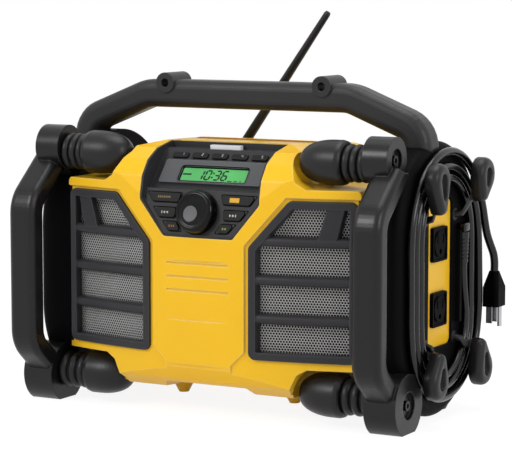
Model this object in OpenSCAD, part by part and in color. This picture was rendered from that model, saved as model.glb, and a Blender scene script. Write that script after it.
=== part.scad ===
// Jobsite radio: a mains and battery radio in a bowed housing between two round end caps,
// with a carrying handle, front guard bars, rubber bumpers and a cord wrap on its right end.
// Working frame: X to the right, Y to the back, Z up, floor at Z = 0. Every piece is drawn
// through placed(), which puts the middle of the depth on Y = 0.

/* [Housing] */
// Width of the housing between the two end caps
housing_w = 324; // [316:1:334]
// Front-most point of the bowed face, measured from the guard feet
face_y = -16; // [-20:0.5:-14]
// Radius of the bow of the front face, seen from above
bow_r = 520; // [440:10:700]
// Back face of the housing
back_y = 190; // [188:0.5:192]
// Plane where the front and rear housings meet
split_y = 105; // [95:1:115]
// Height of the middle hump's flat top
hump_z = 264; // [260:0.5:268]
// Half width of the hump's flat top
hump_half = 90; // [84:1:92]
// Height of the shoulders above the grilles
shoulder_z = 228; // [226:0.5:232]
// Height of the underside between the two belly ridges
belly_z = 32; // [28:0.5:36]
// Height of the two belly ridges
ridge_z = 22; // [18:0.5:26]
// Wall of the housings
wall = 4; // [3:0.25:5]

/* [End caps] */
// Depth centre of the round end caps
cap_y = 105; // [102:0.5:108]
// Height centre of the round end caps
cap_z = 135; // [134:0.5:138]
// Radius of the caps' round ends
cap_r = 93; // [88:0.5:94]
// Half height of the straight stretch between the round ends
cap_h = 40; // [36:0.5:42]
// Thickness of a cap, outwards from the housing
cap_t = 38; // [34:0.5:42]
// Rounding of a cap's outer edge
cap_edge = 9; // [4:0.5:12]

/* [Handle] */
// Half length of the level grip between the two knees
knee_x = 113; // [100:1:120]
// Height of the grip's centre line
grip_z = 307.5; // [300:0.5:316]
// Depth position of the handle
handle_y = 90; // [86:1:96]
// Depth of the handle's section
grip_d = 32; // [26:0.5:36]
// Height of the handle's section
grip_t = 28; // [22:0.5:30]
// Radius of the rounded edges of the handle's section
grip_edge = 9; // [4:0.5:12]
// Slope of the handle's arms below the level, degrees
arm_slope = 21.7; // [18:0.1:25]
// How far the handle's legs stand in from the caps' outer faces
leg_inset = 14; // [12:0.5:18]
// Distance between the two strap eyes
eye_span = 175.6; // [150:1:190]
// Radius of the hole through a strap eye
eye_r = 4.25; // [3:0.05:5.5]
// Radius of the ring round a strap eye
eye_ring = 10.25; // [9.5:0.25:12]

/* [Guards] */
// How far the middle of a guard bar lies outside the housing's end
guard_out = 26.5; // [24:0.5:29]
// Width of a guard bar
bar_w = 30; // [24:0.5:31]
// Depth of a guard bar
bar_d = 22; // [18:0.5:24]
// Centre of the guard bars, front to back
bar_y = -27; // [-30:0.5:-26]
// Depth position of the guard bosses
boss_y = 19.5; // [17:0.5:21]
// Height of the upper boss
boss_z = 255; // [252:0.5:257]
// Radius of the upper boss
boss_r = 22; // [20:0.25:24]
// Height of the foot's centre
foot_z = 26.5; // [26:0.5:29]
// Radius of the foot, which is cut flat on the floor
foot_r = 30; // [29.5:0.25:32]
// Slope of the arms that join bar and bosses, from the upright, degrees
arm_lean = 49; // [45:0.5:52]
// Radius of the bends between bar and arms
guard_bend_r = 26; // [20:0.5:28]
// How far below the middle of the upper boss the upper arm meets it
arm_drop = 12; // [6:0.5:13]

/* [Bumpers] */
// Radius of a bumper's head
bumper_r = 21.5; // [18:0.25:22]
// Length of an upper bumper, from its tip to the boss
bumper_len = 72.5; // [68:0.5:76]
// Length of a bumper's head
bumper_head = 48; // [42:0.5:52]
// Height of the lower bumpers' middle
bumper_z_low = 30.5; // [28:0.5:31]
// How far the upper bumpers' middle lies below that of the bosses
bumper_drop = 4; // [3:0.5:6]
// Radius of the bellows behind the head
bellows_r = 18; // [15:0.25:19]

/* [Grilles] */
// Inner edge of a grille, from the middle
grille_x0 = 55; // [52:0.5:60]
// Width of the yellow edge between a grille and its end cap
grille_end = 3; // [2.5:0.5:6]
// Bottom edge of a grille
grille_z0 = 63; // [60:0.5:68]
// Top edge of a grille
grille_z1 = 215; // [210:0.5:217]
// Width of the frame round the mesh
grille_rim = 7; // [6.5:0.5:10]
// Height of one slat
slat_h = 10; // [7:0.5:11]
// Depth of the frame
grille_d = 9; // [7:0.5:10]
// Spacing of the holes in the speaker mesh
mesh_pitch = 8.4; // [8:0.1:10]
// Thickness of the metal between two holes
mesh_web = 1.6; // [1.2:0.1:2.4]
// Radius of the loudspeaker's cone opening
speaker_r = 44; // [38:0.5:46]

/* [Controls] */
// Sideways place of the dial
dial_x = -2; // [-4:0.5:2]
// Radius of the tuning knob
knob_r = 21.5; // [18:0.25:23]
// Height of the tuning knob above the panel
knob_h = 11; // [10:0.5:14]
// Radius of the knob's shaft
shaft_r = 3; // [2.5:0.1:3.5]
// How far a key stands above the panel
key_proud = 1.8; // [1.3:0.1:2.5]
// How far a key travels
key_travel = 1.2; // [0.8:0.1:1.2]
// Width of the display window
lcd_w = 73; // [66:0.5:76]
// Height of the display window
lcd_h = 16.6; // [14:0.2:18]
// Spacing of the five preset keys
preset_pitch = 22; // [20:0.5:23]

/* [Outlets] */
// Width of the outlet panel
outlet_panel_w = 55; // [50:0.5:56]
// Height of the outlet panel
outlet_panel_h = 142; // [132:1:144]
// Width and height of one outlet
outlet_w = 33; // [30:0.5:36]
// Half the distance between the two outlets
outlet_half = 31.5; // [28:0.5:36]

/* [Cord wrap] */
// Diameter of the mains cord
cord_d = 8; // [7:0.25:8.25]
// Radius of the first turn of the cord about the wrap's round ends
cord_r0 = 50; // [50:0.25:51]
// How much wider each turn lies than the one inside it
cord_pitch = 10.5; // [9:0.25:11]
// Height that the cleats' ears stand off the cap
ear_gap = 12; // [11.5:0.25:14]
// Thickness of a cleat's ear
ear_t = 14; // [10:0.5:16]
// Half the depth spacing of the cleats' ears
ear_y = 49.5; // [47:0.5:51]
// Half the height spacing of the cleats' ears
ear_z = 94.5; // [90:0.5:96]
// Radius of an ear's round end
ear_r = 17; // [14:0.5:18]

/* [Antenna] */
// Length of the antenna from its hinge
antenna_len = 178; // [150:1:182]
// Radius of the antenna at its foot
antenna_r = 5; // [4:0.1:5.5]
// Lean of the antenna to the right, degrees from the upright
antenna_lean = 35.5; // [30:0.5:40]
// Hinge of the antenna, from the middle
antenna_x = -58; // [-70:1:-40]
// Hinge of the antenna, front to back
antenna_y = 171; // [169:0.5:172]
// Height of the antenna's hinge
antenna_z = 244; // [243:0.5:246]

/* [Doors] */
// Width of the battery bay
bay_w = 84; // [80:1:86]
// Height of the battery bay
bay_h = 126; // [118:1:128]
// How far the battery door covers the housing round the bay
door_rim = 10; // [9:0.5:11]
// Thickness of the battery door
door_t = 4; // [3:0.25:4.5]
// Depth of the battery bay
bay_d = 48; // [40:1:52]
// Radius of the storage cover's round ends on the left cap
cover_r = 42; // [38:0.5:44]
// How far the storage cover stands out of the left cap
cover_t = 26; // [20:0.5:28]
// Depth of the storage box behind the cover
box_d = 30; // [20:1:32]
// Radius of the hinge pins
pin_r = 2; // [1.5:0.1:2.4]

/* [Fits] */
// Gap round a shaft or pin that turns
run_gap = 0.05; // [0.02:0.01:0.08]
// Gap round a key or a door that moves
move_gap = 0.4; // [0.3:0.05:0.6]
// Gap between two pieces that are screwed together
seat_gap = 0.15; // [0.1:0.05:0.25]

/* [Hidden] */
$fn = 48;

YELLOW = "#f6c02a";
BLACK = "#242424";
SOFT_BLACK = "#1b1b1b";
PANEL_GREY = "#3a3a3d";

half_w = housing_w / 2;
cap_x = half_w + cap_t;
bar_x = half_w + guard_out;
bar_front = bar_y - bar_d / 2;
mid_y = (bar_front + cap_y + cap_r) / 2;
cap_top_z = cap_z + cap_h;
leg_x = cap_x - leg_inset;
grille_x1 = half_w - grille_end;

// Places a piece drawn in the working frame, with the middle of the depth on Y = 0
module placed() { translate([0, -mid_y, 0]) children(); }

// One copy on the right and its mirror image on the left
module both_sides() {
    children();
    mirror([1, 0, 0]) children();
}

// The left-hand copy of a piece drawn for the right
module on_left() { mirror([1, 0, 0]) children(); }

// Extrudes an outline given in X and Z from depth y0 to depth y1
module from_front(y0, y1) {
    translate([0, y1, 0]) rotate([90, 0, 0]) linear_extrude(y1 - y0) children();
}

// Extrudes an outline given in Y and Z from x0 to x1
module from_side(x0, x1) {
    translate([x0, 0, 0]) rotate([90, 0, 90]) linear_extrude(x1 - x0) children();
}

// Turns a solid of revolution about Z into one about a line along X
module axis_x(x, y, z) { translate([x, y, z]) rotate([90, 0, 90]) children(); }

// Turns a solid of revolution about Z into one about a line to the back
module axis_y(x, y, z) { translate([x, y, z]) rotate([-90, 0, 0]) children(); }

// Rounds the corners of an outline, both the outer and the inner ones
module soft_corners(outer, inner) {
    offset(r = -inner) offset(delta = inner) offset(r = outer) offset(delta = -outer) children();
}

module rounded_rect(w, h, r) {
    square([w - 2 * r, h], center = true);
    square([w, h - 2 * r], center = true);
    for (x = [-1, 1], y = [-1, 1]) translate([x * (w / 2 - r), y * (h / 2 - r)]) circle(r);
}

// Two round ends, radius r1 on p1 and r2 on p2, joined by their outer tangents
module petal(p1, r1, p2, r2) {
    d = norm(p2 - p1);
    a = atan2(p2[1] - p1[1], p2[0] - p1[0]);
    b = acos((r1 - r2) / d);
    translate(p1) circle(r1);
    translate(p2) circle(r2);
    polygon([p1 + r1 * [cos(a + b), sin(a + b)], p1 + r1 * [cos(a - b), sin(a - b)],
        p2 + r2 * [cos(a - b), sin(a - b)], p2 + r2 * [cos(a + b), sin(a + b)]]);
}

// A body with two round ends, straight for 2 * h between them: the child outline is its
// section, radius first and height second. The long way is along Y, the thickness along Z.
module obround(h) {
    translate([0, h]) rotate_extrude(angle = 180) children();
    translate([0, -h]) rotate([0, 0, 180]) rotate_extrude(angle = 180) children();
    rotate([90, 0, 0]) translate([0, 0, -h]) linear_extrude(2 * h) {
        children();
        mirror([1, 0]) children();
    }
}

// Section of an obround: radius r, height t, with a rounded far edge
module edge_section(r, t, edge) {
    square([r, t - edge]);
    square([r - edge, t]);
    translate([r - edge, t - edge]) intersection() {
        circle(edge);
        square(edge);
    }
}

// ---------------------------------------------------------------- housing

// Side view of the housing, front to the left; the ledge at the back is the antenna's
ledge_y = antenna_y - 15;
ledge_z = antenna_z - 12;
function side_points() = [
    [42, ridge_z], [10, ridge_z + 3], [-5, 36], [face_y, 52], [face_y, 182], [face_y + 3, 210],
    [face_y + 8, 233], [3, 248], [20, 258], [48, hump_z], [ledge_y - 4, hump_z - 4],
    [ledge_y, ledge_z], [back_y - 6, ledge_z - 2], [back_y, ledge_z - 10], [back_y, 34],
    [back_y - 10, ridge_z]];

// Front view of the housing
function front_half() = [
    [0, hump_z + 1], [hump_half - 24, hump_z + 1], [hump_half + 8, hump_z - 7],
    [hump_half + 34, shoulder_z], [half_w, shoulder_z - 2], [half_w, 50], [half_w - 12, 44], [118, 30], [97, ridge_z], [52, ridge_z], [45, belly_z],
    [0, belly_z]];

module front_shape() {
    polygon(front_half());
    mirror([1, 0]) polygon(front_half());
}
module front_outline() { soft_corners(5, 3, $fn = 32) front_shape(); }

// Depth of the bowed face at a distance x from the middle
function bow_y(x, r = bow_r) = face_y + bow_r - sqrt(r * r - x * x);

// Seen from above: bowed face, straight ends, rounded back corners
module plan_outline() {
    intersection() {
        translate([0, face_y + bow_r]) circle(bow_r, $fn = 360);
        translate([0, (face_y - 2 + back_y) / 2])
            rounded_rect(housing_w, back_y - face_y + 2, 12);
        translate([-half_w, face_y - 2]) square([housing_w, back_y - face_y + 2]);
    }
    intersection() {
        translate([0, face_y + bow_r]) circle(bow_r, $fn = 360);
        translate([-half_w, face_y - 2]) square([housing_w, 60]);
    }
}

// Room for the rubber bumpers at the four corners of the face: each scoop ends in a round
// hollow about the bumper's head and slopes away above or below it
scoop_r = bumper_r + 3.5;
bumper_z_up = boss_z - bumper_drop;
boss_x0 = bar_x - 21;
bumper_tip = boss_x0 - bumper_len;
module bumper_scoops() {
    x0 = bumper_tip - 6;
    for (up = [0, 1]) both_sides() {
        z = up == 1 ? bumper_z_up : bumper_z_low;
        k = up == 1 ? 1 : -1;
        axis_x(x0, boss_y, z) rotate_extrude($fn = 64) polygon(concat(
            [for (a = [0:15:90]) [scoop_r * sin(a), 24 * (1 - cos(a))]], [[scoop_r, 110], [0, 110]]));
        from_front(-60, boss_y + scoop_r - 0.5) polygon([[x0 + 22, z], [x0 + 4, z + 20 * k],
            [x0 - 4, z + 70 * k], [x0 + 110, z + 70 * k], [x0 + 110, z]]);
        from_front(-60, boss_y) polygon([[x0 + 3, z], [x0 + 12, z - k * (scoop_r - 6)],
            [x0 + 22, z - k * scoop_r], [x0 + 110, z - k * scoop_r], [x0 + 110, z + k], [x0 + 3, z + k]]);
    }
}

module body_form() {
    difference() {
        intersection() {
            from_side(-half_w, half_w) soft_corners(6, 6, $fn = 32) polygon(side_points());
            from_front(face_y - 2, back_y + 2) front_outline();
            translate([0, 0, -1]) linear_extrude(hump_z + 10) plan_outline();
        }
        bumper_scoops();
    }
}

// The hollow inside both housings: the outer form less the wall, kept clear of the corner
// bumpers, of the niche of the controls and of the flats that carry the loudspeakers
baffle = 5;
shell = wall + 1;
module cavity() {
    flat_0 = bow_y(mesh_x0, back_r) + (baffle + mesh_t + seat_gap) / cos(mesh_tilt);
    near_x = grille_x0 - 6;
    side_x = half_w - shell;
    slope = tan(mesh_tilt);
    half_plan = [[0, face_y + shell], [near_x, bow_y(near_x) + shell],
        [near_x + 0.5, flat_0 + (near_x - mesh_x0) * slope],
        [side_x, flat_0 + (side_x - mesh_x0) * slope], [side_x, back_y - 12],
        [side_x - 8, back_y - wall], [0, back_y - wall]];
    difference() {
        intersection() {
            from_side(-side_x, side_x) offset(delta = -shell) polygon(side_points());
            from_front(face_y, back_y) offset(delta = -shell) front_shape();
            linear_extrude(hump_z) {
                polygon(half_plan);
                mirror([1, 0]) polygon(half_plan);
            }
        }
        both_sides() {
            translate([bumper_tip - 16, -60, boss_z - scoop_r - shell - 4])
                cube([130, 60 + boss_y + scoop_r + shell, 80]);
            translate([bumper_tip - 16, -60, bumper_z_low + scoop_r + shell - 80])
                cube([130, 60 + boss_y + scoop_r + shell, 80]);
        }
        niche(panel_t + seat_gap + 4, -4);
    }
}

module half_space(y0, y1) { translate([-250, y0, -10]) cube([500, y1 - y0, 420]); }

// The niche of the controls. The key field leans back a little, the display field more.
key_field = [-14.5, 176];
key_tilt = 76.7;
key_len = 46;
lcd_field = [0, 214];
lcd_tilt = 50;
lcd_len = 56;
lcd_start = 8;
lip_z = lcd_field[1] + lcd_len * sin(lcd_tilt);
lip_y = lcd_field[0] + lcd_len * cos(lcd_tilt);
niche_half = 66;
niche_back = 14;

module on_key_field() { translate([0, key_field[0], key_field[1]]) rotate([key_tilt, 0, 0]) children(); }
module on_lcd_field() { translate([0, lcd_field[0], lcd_field[1]]) rotate([lcd_tilt, 0, 0]) children(); }

// Front view of the niche: a shield, narrow at the bottom
module shield_points() {
    polygon([[-38, key_field[1]], [38, key_field[1]], [niche_half, key_field[1] + 34],
        [niche_half, 300], [-niche_half, 300], [-niche_half, key_field[1] + 34]]);
}
module shield(inset) {
    if (inset > 2) offset(delta = -inset) shield_points();
    else offset(delta = -inset) soft_corners(5, 0) shield_points();
}

// Side view of the room in front of a surface that lies "deep" behind the panel's face
module niche_side(deep) {
    k = [cos(key_tilt), sin(key_tilt)];
    d = [cos(lcd_tilt), sin(lcd_tilt)];
    a = key_field + deep * [k[1], -k[0]] - 12 * k;
    b = key_field + deep * [k[1], -k[0]] + (key_len - 0.9 * deep) * k;
    c = lcd_field + deep * [d[1], -d[0]] + lcd_start * d;
    e = lcd_field + deep * [d[1], -d[0]] + lcd_len * d;
    polygon([a, b, c, e, [e[0] + 12, e[1]], [e[0] + 12, 300], [-40, 300], [-40, a[1]]]);
}

module niche(deep, inset) {
    intersection() {
        from_side(-niche_half - 20, niche_half + 20) niche_side(deep);
        from_front(-50, 80) shield(inset);
    }
}

module front_housing() {
    color(YELLOW) placed() difference() {
        union() {
            intersection() {
                body_form();
                half_space(-60, split_y - seat_gap / 2);
            }
            both_sides() translate([63, 66, 9]) cylinder(r1 = 5, r2 = 13, h = 15);
        }
        cavity();
        niche(panel_t + seat_gap, 0);
        niche(niche_back, 3);
        both_sides() {
            grille_pocket();
            at_speaker() translate([0, 0, -30]) cylinder(r = cone_r + 1, h = 60);
            face_relief();
        }
        front_panel_recess();
        seal_groove();
    }
}

// The face beside the middle column lies a little further back than the column
module face_relief() {
    intersection() {
        bow_shell(-10, 2.2);
        from_front(-60, 60) polygon([[grille_x0 - 19, 30], [grille_x0 - 19, grille_z0 - 8],
            [grille_x0 - 5, grille_z0 + 6], [grille_x0 - 5, grille_z1 - 44],
            [grille_x0 + 37, grille_z1 + 3], [half_w + 8, grille_z1 + 3], [half_w + 8, 30]]);
    }
}

// The shallow field below the controls and its three steps
module front_panel_recess() {
    from_front(face_y - 3, face_y + 1.2) soft_corners(3, 0)
        translate([-38, 96]) square([76, 58]);
    for (z = [124, 137, 150])
        from_front(face_y - 3, face_y + 2.2) translate([-34, z]) square([68, 1.6]);
    from_front(face_y - 3, face_y + 1.5) translate([-62, 50]) square([124, 3]);
}

module rear_housing() {
    color(YELLOW) placed() difference() {
        union() {
            difference() {
                intersection() {
                    body_form();
                    half_space(split_y + seat_gap / 2, 260);
                }
                cavity();
            }
            from_front(back_y - bay_d - wall, back_y) translate([0, bay_z])
                rounded_rect(bay_w + 2 * wall, bay_h + 2 * wall, 6);
            hinge_lugs();
            for (x = board_posts_x, z = board_posts_z) axis_y(x, board_y + 1.6, z)
                cylinder(r = 4, h = back_y - board_y - 3);
        }
        axis_x(-lug_x - move_gap, hinge_y, hinge_z)
            cylinder(r = pin_r + 2 + move_gap, h = 2 * lug_x + 2 * move_gap);
        from_front(back_y - bay_d, back_y + 5) translate([0, bay_z]) rounded_rect(bay_w, bay_h, 4);
        from_front(back_y - 1.5, back_y + 5) translate([0, door_z])
            rounded_rect(door_w + 2 * move_gap, door_h + 2 * move_gap, 6);
        axis_x(-door_w / 2 + 2, hinge_y, hinge_z) cylinder(r = pin_r, h = door_w - 4);
        translate([antenna_x, antenna_y, ledge_z - socket_deep]) cylinder(r = socket_r + run_gap, h = 30);
        for (s = [-1, 1]) vent_slots(s * 105);
    }
}

// A louvred vent beside the battery door
module vent_slots(x) {
    for (i = [0:5])
        from_front(back_y - wall - 2, back_y + 2) translate([x, 96 + 12 * i]) rounded_rect(44, 4, 1.9);
}

// The soft ring between the two housings lies in a groove in the front one
seal_w = 1.6;
module seal_body(gap, t) {
    from_front(split_y - t, split_y) difference() {
        offset(delta = seal_w / 2 + gap - 2.6) front_shape();
        offset(delta = -seal_w / 2 - gap - 2.6) front_shape();
    }
}
module seal_groove() { seal_body(seat_gap, 1.6); }
module housing_seal() { color("#151515") placed() seal_body(0, 1.5); }

// ---------------------------------------------------------------- end caps

module cap_solid(grow) {
    axis_x(half_w, cap_y, cap_z) obround(cap_h) edge_section(cap_r + grow, cap_t, cap_edge);
}

// The right cap carries the outlet panel, the cord wrap and the rib beside the strain relief
panel_z = cap_z + 6;
module right_end_cap() {
    color(BLACK) placed() difference() {
        union() {
            cap_solid(0);
            translate([cap_x - 1, rib_y, cap_z - 45]) cube([7, rib_t, 90]);
        }
        cap_hollow(cap_t - 14);
        translate([half_w - 1, cap_y - 30, cap_z - 50]) cube([8, 60, 100]);
        translate([cap_x - 8, cap_y, panel_z]) rotate([90, 0, 90]) linear_extrude(20)
            rounded_rect(outlet_panel_w + 2 * seat_gap, outlet_panel_h + 2 * seat_gap, 7 + seat_gap);
        for (s = [-1, 1]) translate([cap_x - 22 - seat_gap, outlet_y, outlet_mid_z + s * outlet_half])
            rotate([90, 0, 90]) linear_extrude(30)
            rounded_rect(outlet_w + 2 * seat_gap, outlet_w + 2 * seat_gap, 2.5);
        cleat_pockets();
    }
}

// The room inside a cap, between its inner wall and its face
module cap_hollow(deep) {
    axis_x(half_w + 5, cap_y, cap_z) obround(cap_h) square([cap_r - 7, deep - 5]);
}

// The left cap holds the storage box behind its cover
module left_end_cap() {
    color(BLACK) placed() on_left() difference() {
        union() {
            difference() {
                cap_solid(0);
                cap_hollow(cap_t - 6);
            }
            translate([half_w + 3, cap_y - box_w / 2 - 3, cap_z - box_h / 2 - 3])
                cube([cap_t - 6, box_w + 6, box_h + 6]);
            for (z = [cap_z - 24, cap_z + 24]) cover_knuckle(z, 16);
        }
        translate([cap_x - box_d, cap_y, cap_z]) rotate([90, 0, 90]) linear_extrude(box_d + 1)
            rounded_rect(box_w, box_h, 1.5);
        translate([cover_pin_x, cover_pin_y, cap_z - 31]) cylinder(r = pin_r, h = 62);
    }
}
box_w = 64;
box_h = 88;
cover_h = 18;
cover_pin_x = cap_x + 5;
cover_pin_y = cap_y + cover_r + 6;

// One barrel of the cover's hinge with the web that carries it down to the cap
module cover_knuckle(z, h) {
    translate([cover_pin_x, cover_pin_y, z - h / 2]) cylinder(r = pin_r + 2.5, h = h);
    translate([cap_x - 1, cover_pin_y - pin_r - 2.5, z - h / 2])
        cube([cover_pin_x - cap_x + 1, 2 * pin_r + 5, h]);
}

module storage_cover() {
    color(BLACK) placed() on_left() difference() {
        union() {
            difference() {
                axis_x(cap_x + move_gap, cap_y, cap_z)
                    obround(cover_h) edge_section(cover_r, cover_t - move_gap, 18);
                axis_x(cap_x, cap_y, cap_z)
                    obround(cover_h) edge_section(cover_r - 3, cover_t - 3, 16);
                translate([cap_x - 1, cap_y - cover_r - 1, cap_z - 12]) cube([7, 5, 24]);
            }
            translate([cover_pin_x, cover_pin_y, cap_z - 15.5]) cylinder(r = pin_r + 2.5, h = 31);
            translate([cover_pin_x - 2.5, cap_y + cover_r - 6, cap_z - 15.5])
                cube([5, cover_pin_y - cap_y - cover_r + 6, 31]);
        }
        translate([cover_pin_x, cover_pin_y, cap_z - 60]) cylinder(r = pin_r + run_gap, h = 120);
    }
}

// The pins of the storage cover and of the battery door
module hinge_pins() {
    color("silver") placed() {
        on_left() translate([cover_pin_x, cover_pin_y, cap_z - 31]) cylinder(r = pin_r, h = 62);
        axis_x(-door_w / 2 + 2, hinge_y, hinge_z) cylinder(r = pin_r, h = door_w - 4);
    }
}

// ---------------------------------------------------------------- handle

// Outline of a bar with rounded corners, as points
function bar_outline(w, h, r, n = 6) = [for (k = [0:3]) for (i = [0:n - 1])
    let (a = 90 * k + 90 * i / (n - 1))
    [(k == 0 || k == 3 ? 1 : -1) * (w / 2 - r) + r * cos(a),
        (k < 2 ? 1 : -1) * (h / 2 - r) + r * sin(a)]];

// The legs turn into the arms, and the arms into the level grip
leg_bend_r = 24;
knee_bend_r = 40;
leg_turn = 90 - arm_slope;
knee_in = knee_bend_r * tan(arm_slope / 2);
knee_end_x = knee_x - knee_in;
arm_start_x = knee_x + knee_in * cos(arm_slope);
arm_start_z = grip_z - knee_in * sin(arm_slope);
leg_end_x = leg_x - leg_bend_r * (1 - cos(leg_turn));
arm_len = (leg_end_x - arm_start_x) / cos(arm_slope);
leg_top_z = arm_start_z - arm_len * sin(arm_slope) - leg_bend_r * sin(leg_turn);
leg_foot_z = cap_top_z + 70;
eye_z = grip_z + grip_t / 2 - 3;

handle_half = concat([[leg_x, leg_foot_z]],
    [for (i = [0:7]) let (a = leg_turn * i / 7)
        [leg_x - leg_bend_r * (1 - cos(a)), leg_top_z + leg_bend_r * sin(a)]],
    [for (i = [0:5]) let (a = arm_slope * (1 - i / 5))
        [knee_end_x + knee_bend_r * sin(a), grip_z - knee_bend_r * (1 - cos(a))]]);
handle_path = concat([for (q = handle_half) [q[0], handle_y, q[1]]],
    [for (i = [len(handle_half) - 1:-1:0]) [-handle_half[i][0], handle_y, handle_half[i][1]]]);

module handle() {
    color(SOFT_BLACK) placed() difference() {
        union() {
            sweep(handle_path, bar_outline(grip_d, grip_t, grip_edge), [0, 1, 0]);
            both_sides() axis_y(eye_span / 2, handle_y - grip_d / 2 - 2, eye_z)
                cylinder(r = eye_ring, h = grip_d + 4);
        }
        both_sides() cap_solid(0.05);
        both_sides() axis_y(eye_span / 2, handle_y - 40, eye_z) cylinder(r = eye_r, h = 80);
    }
}

// ---------------------------------------------------------------- guards and bumpers

arm_reach = (boss_y - bar_y - guard_bend_r * (1 - cos(arm_lean))) / sin(arm_lean);
bar_top = boss_z - arm_drop - arm_reach * cos(arm_lean) - guard_bend_r * sin(arm_lean);
bar_foot = foot_z - 3 + arm_reach * cos(arm_lean) + guard_bend_r * sin(arm_lean);
boss_x1 = bar_x + 5;
foot_x0 = bar_x - 15;
foot_x1 = bar_x + 18;
recess_r = 11;

// The upright bar with its two arms, as one sweep from the foot to the boss. An arm's points are
// given from its bend outwards, with z = 0 at the end of the bar's straight length.
guard_arm = concat([for (i = [0:8]) let (a = arm_lean * i / 8)
        [guard_bend_r * (1 - cos(a)), guard_bend_r * sin(a)]],
    [[guard_bend_r * (1 - cos(arm_lean)) + (arm_reach + 3) * sin(arm_lean),
        guard_bend_r * sin(arm_lean) + (arm_reach + 3) * cos(arm_lean)]]);
guard_path = concat(
    [for (i = [len(guard_arm) - 1:-1:0]) [bar_x, bar_y + guard_arm[i][0], bar_foot - guard_arm[i][1]]],
    [for (q = guard_arm) [bar_x, bar_y + q[0], bar_top + q[1]]]);
module guard_bar() { sweep(guard_path, bar_outline(bar_w, bar_d, 7), [1, 0, 0]); }

module right_guard_solid() {
    difference() {
        union() {
            guard_bar();
            axis_x(boss_x0, boss_y, boss_z) cylinder(r = boss_r, h = boss_x1 - boss_x0);
            axis_x(foot_x0, boss_y + 2, foot_z) cylinder(r = foot_r, h = foot_x1 - foot_x0);
            from_side(boss_x0 + 3, boss_x1 - 4) hull() {
                translate([boss_y + 4, boss_z - 2]) circle(boss_r - 5);
                translate([cap_y - 45, cap_top_z + 42]) circle(15);
            }
        }
        cap_solid(seat_gap);
        axis_x(cap_x - 5, cap_y, cap_z) obround(cap_h) square([cap_r - 12, 30]);
        translate([bar_x - 60, -60, -60]) cube([120, 160, 60]);
        axis_x(boss_x1 - 4, boss_y, boss_z) cylinder(r = recess_r, h = 20);
        axis_x(foot_x1 - 4, boss_y + 2, foot_z) cylinder(r = recess_r + 2, h = 20);
        axis_x(boss_x0 - 1, boss_y, bumper_z_up) cylinder(r = stub_r + seat_gap, h = 8);
        axis_x(foot_x0 - 1, boss_y, bumper_z_low) cylinder(r = stub_r + seat_gap, h = 8);
        both_bolts(seat_gap);
    }
}

module right_guard() { color(BLACK) placed() right_guard_solid(); }
module left_guard() { color(BLACK) placed() on_left() right_guard_solid(); }

// Cap-head bolts in the bosses' outer recesses
bolt_r = 5;
module both_bolts(gap) {
    for (b = [[boss_x1 - 4, boss_y, boss_z], [foot_x1 - 4, boss_y + 2, foot_z]]) {
        axis_x(b[0] - 10, b[1], b[2]) cylinder(r = 2.5 + gap, h = 11);
        if (gap == 0) axis_x(b[0], b[1], b[2]) difference() {
            cylinder(r = bolt_r, h = 3);
            translate([0, 0, 1.2]) cylinder(r = 2.6, h = 3, $fn = 6);
        }
    }
}
module guard_bolts() { color("dimgray") placed() both_sides() both_bolts(0); }

// Rubber bumper: bullet head, three ribs of bellows and a stub that plugs into the boss
stub_r = 9;
module bumper_section(x0) {
    head = bumper_head;
    long = x0 - bumper_tip;
    rib = (long - head) / 3;
    polygon(concat(
        [for (a = [0:7.5:90]) [bumper_r * pow(sin(a), 0.72), head * 0.72 * (1 - cos(a))]],
        [[bumper_r, head - 5], [bumper_r - 1, head - 1.6], [bumper_r - 3, head],
            [bellows_r - 4, head], [bellows_r - 4, long], [stub_r, long], [stub_r, long + 5],
            [0, long + 5]]));
    for (i = [0:2]) translate([bellows_r - rib * 0.46, head + rib * (i + 0.5)])
        circle(rib * 0.46, $fn = 24);
}
module bumper(x0, z) {
    color(SOFT_BLACK) placed() difference() {
        axis_x(bumper_tip, boss_y, z) rotate_extrude() bumper_section(x0);
        cap_solid(seat_gap);
    }
}
module upper_right_bumper() { bumper(boss_x0, bumper_z_up); }
module lower_right_bumper() { bumper(foot_x0, bumper_z_low); }
module upper_left_bumper() { on_left() bumper(boss_x0, bumper_z_up); }
module lower_left_bumper() { on_left() bumper(foot_x0, bumper_z_low); }

// Two rubber feet below the caps, near the back
rear_foot_y = cap_y + 45;
module rear_feet() {
    color(SOFT_BLACK) placed() both_sides() difference() {
        translate([half_w + 14, rear_foot_y, 0]) {
            cylinder(r1 = 10.5, r2 = 12, h = 3);
            translate([0, 0, 3]) cylinder(r = 12, h = 30);
        }
        cap_solid(0);
    }
}

// ---------------------------------------------------------------- grilles and loudspeakers

// Front view of a grille: the inner top corner is cut away along the controls
module grille_outline(inset) {
    offset(delta = -inset) soft_corners(7, 7) polygon([
        [grille_x0, grille_z0], [grille_x1, grille_z0], [grille_x1, grille_z1],
        [grille_x0 + 40.4, grille_z1], [grille_x0, grille_z1 - 45]]);
}

// The flat behind the bowed frame, on which the mesh lies
mesh_x0 = grille_x0 + 5;
mesh_x1 = grille_x1 - 1;
back_r = bow_r - grille_d - 0.3;
mesh_tilt = atan2(bow_y(mesh_x1, back_r) - bow_y(mesh_x0, back_r), mesh_x1 - mesh_x0);
mesh_t = 1.2;
mesh_l = mesh_x1 - mesh_x0;
module on_mesh_flat() {
    translate([mesh_x0, bow_y(mesh_x0, back_r), 0]) rotate([90, 0, mesh_tilt]) children();
}

module grille_pocket() {
    intersection() {
        from_front(-60, 60) grille_outline(-0.3);
        on_mesh_flat() translate([-30, 0, -mesh_t - seat_gap]) cube([200, 300, 60]);
    }
}

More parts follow.
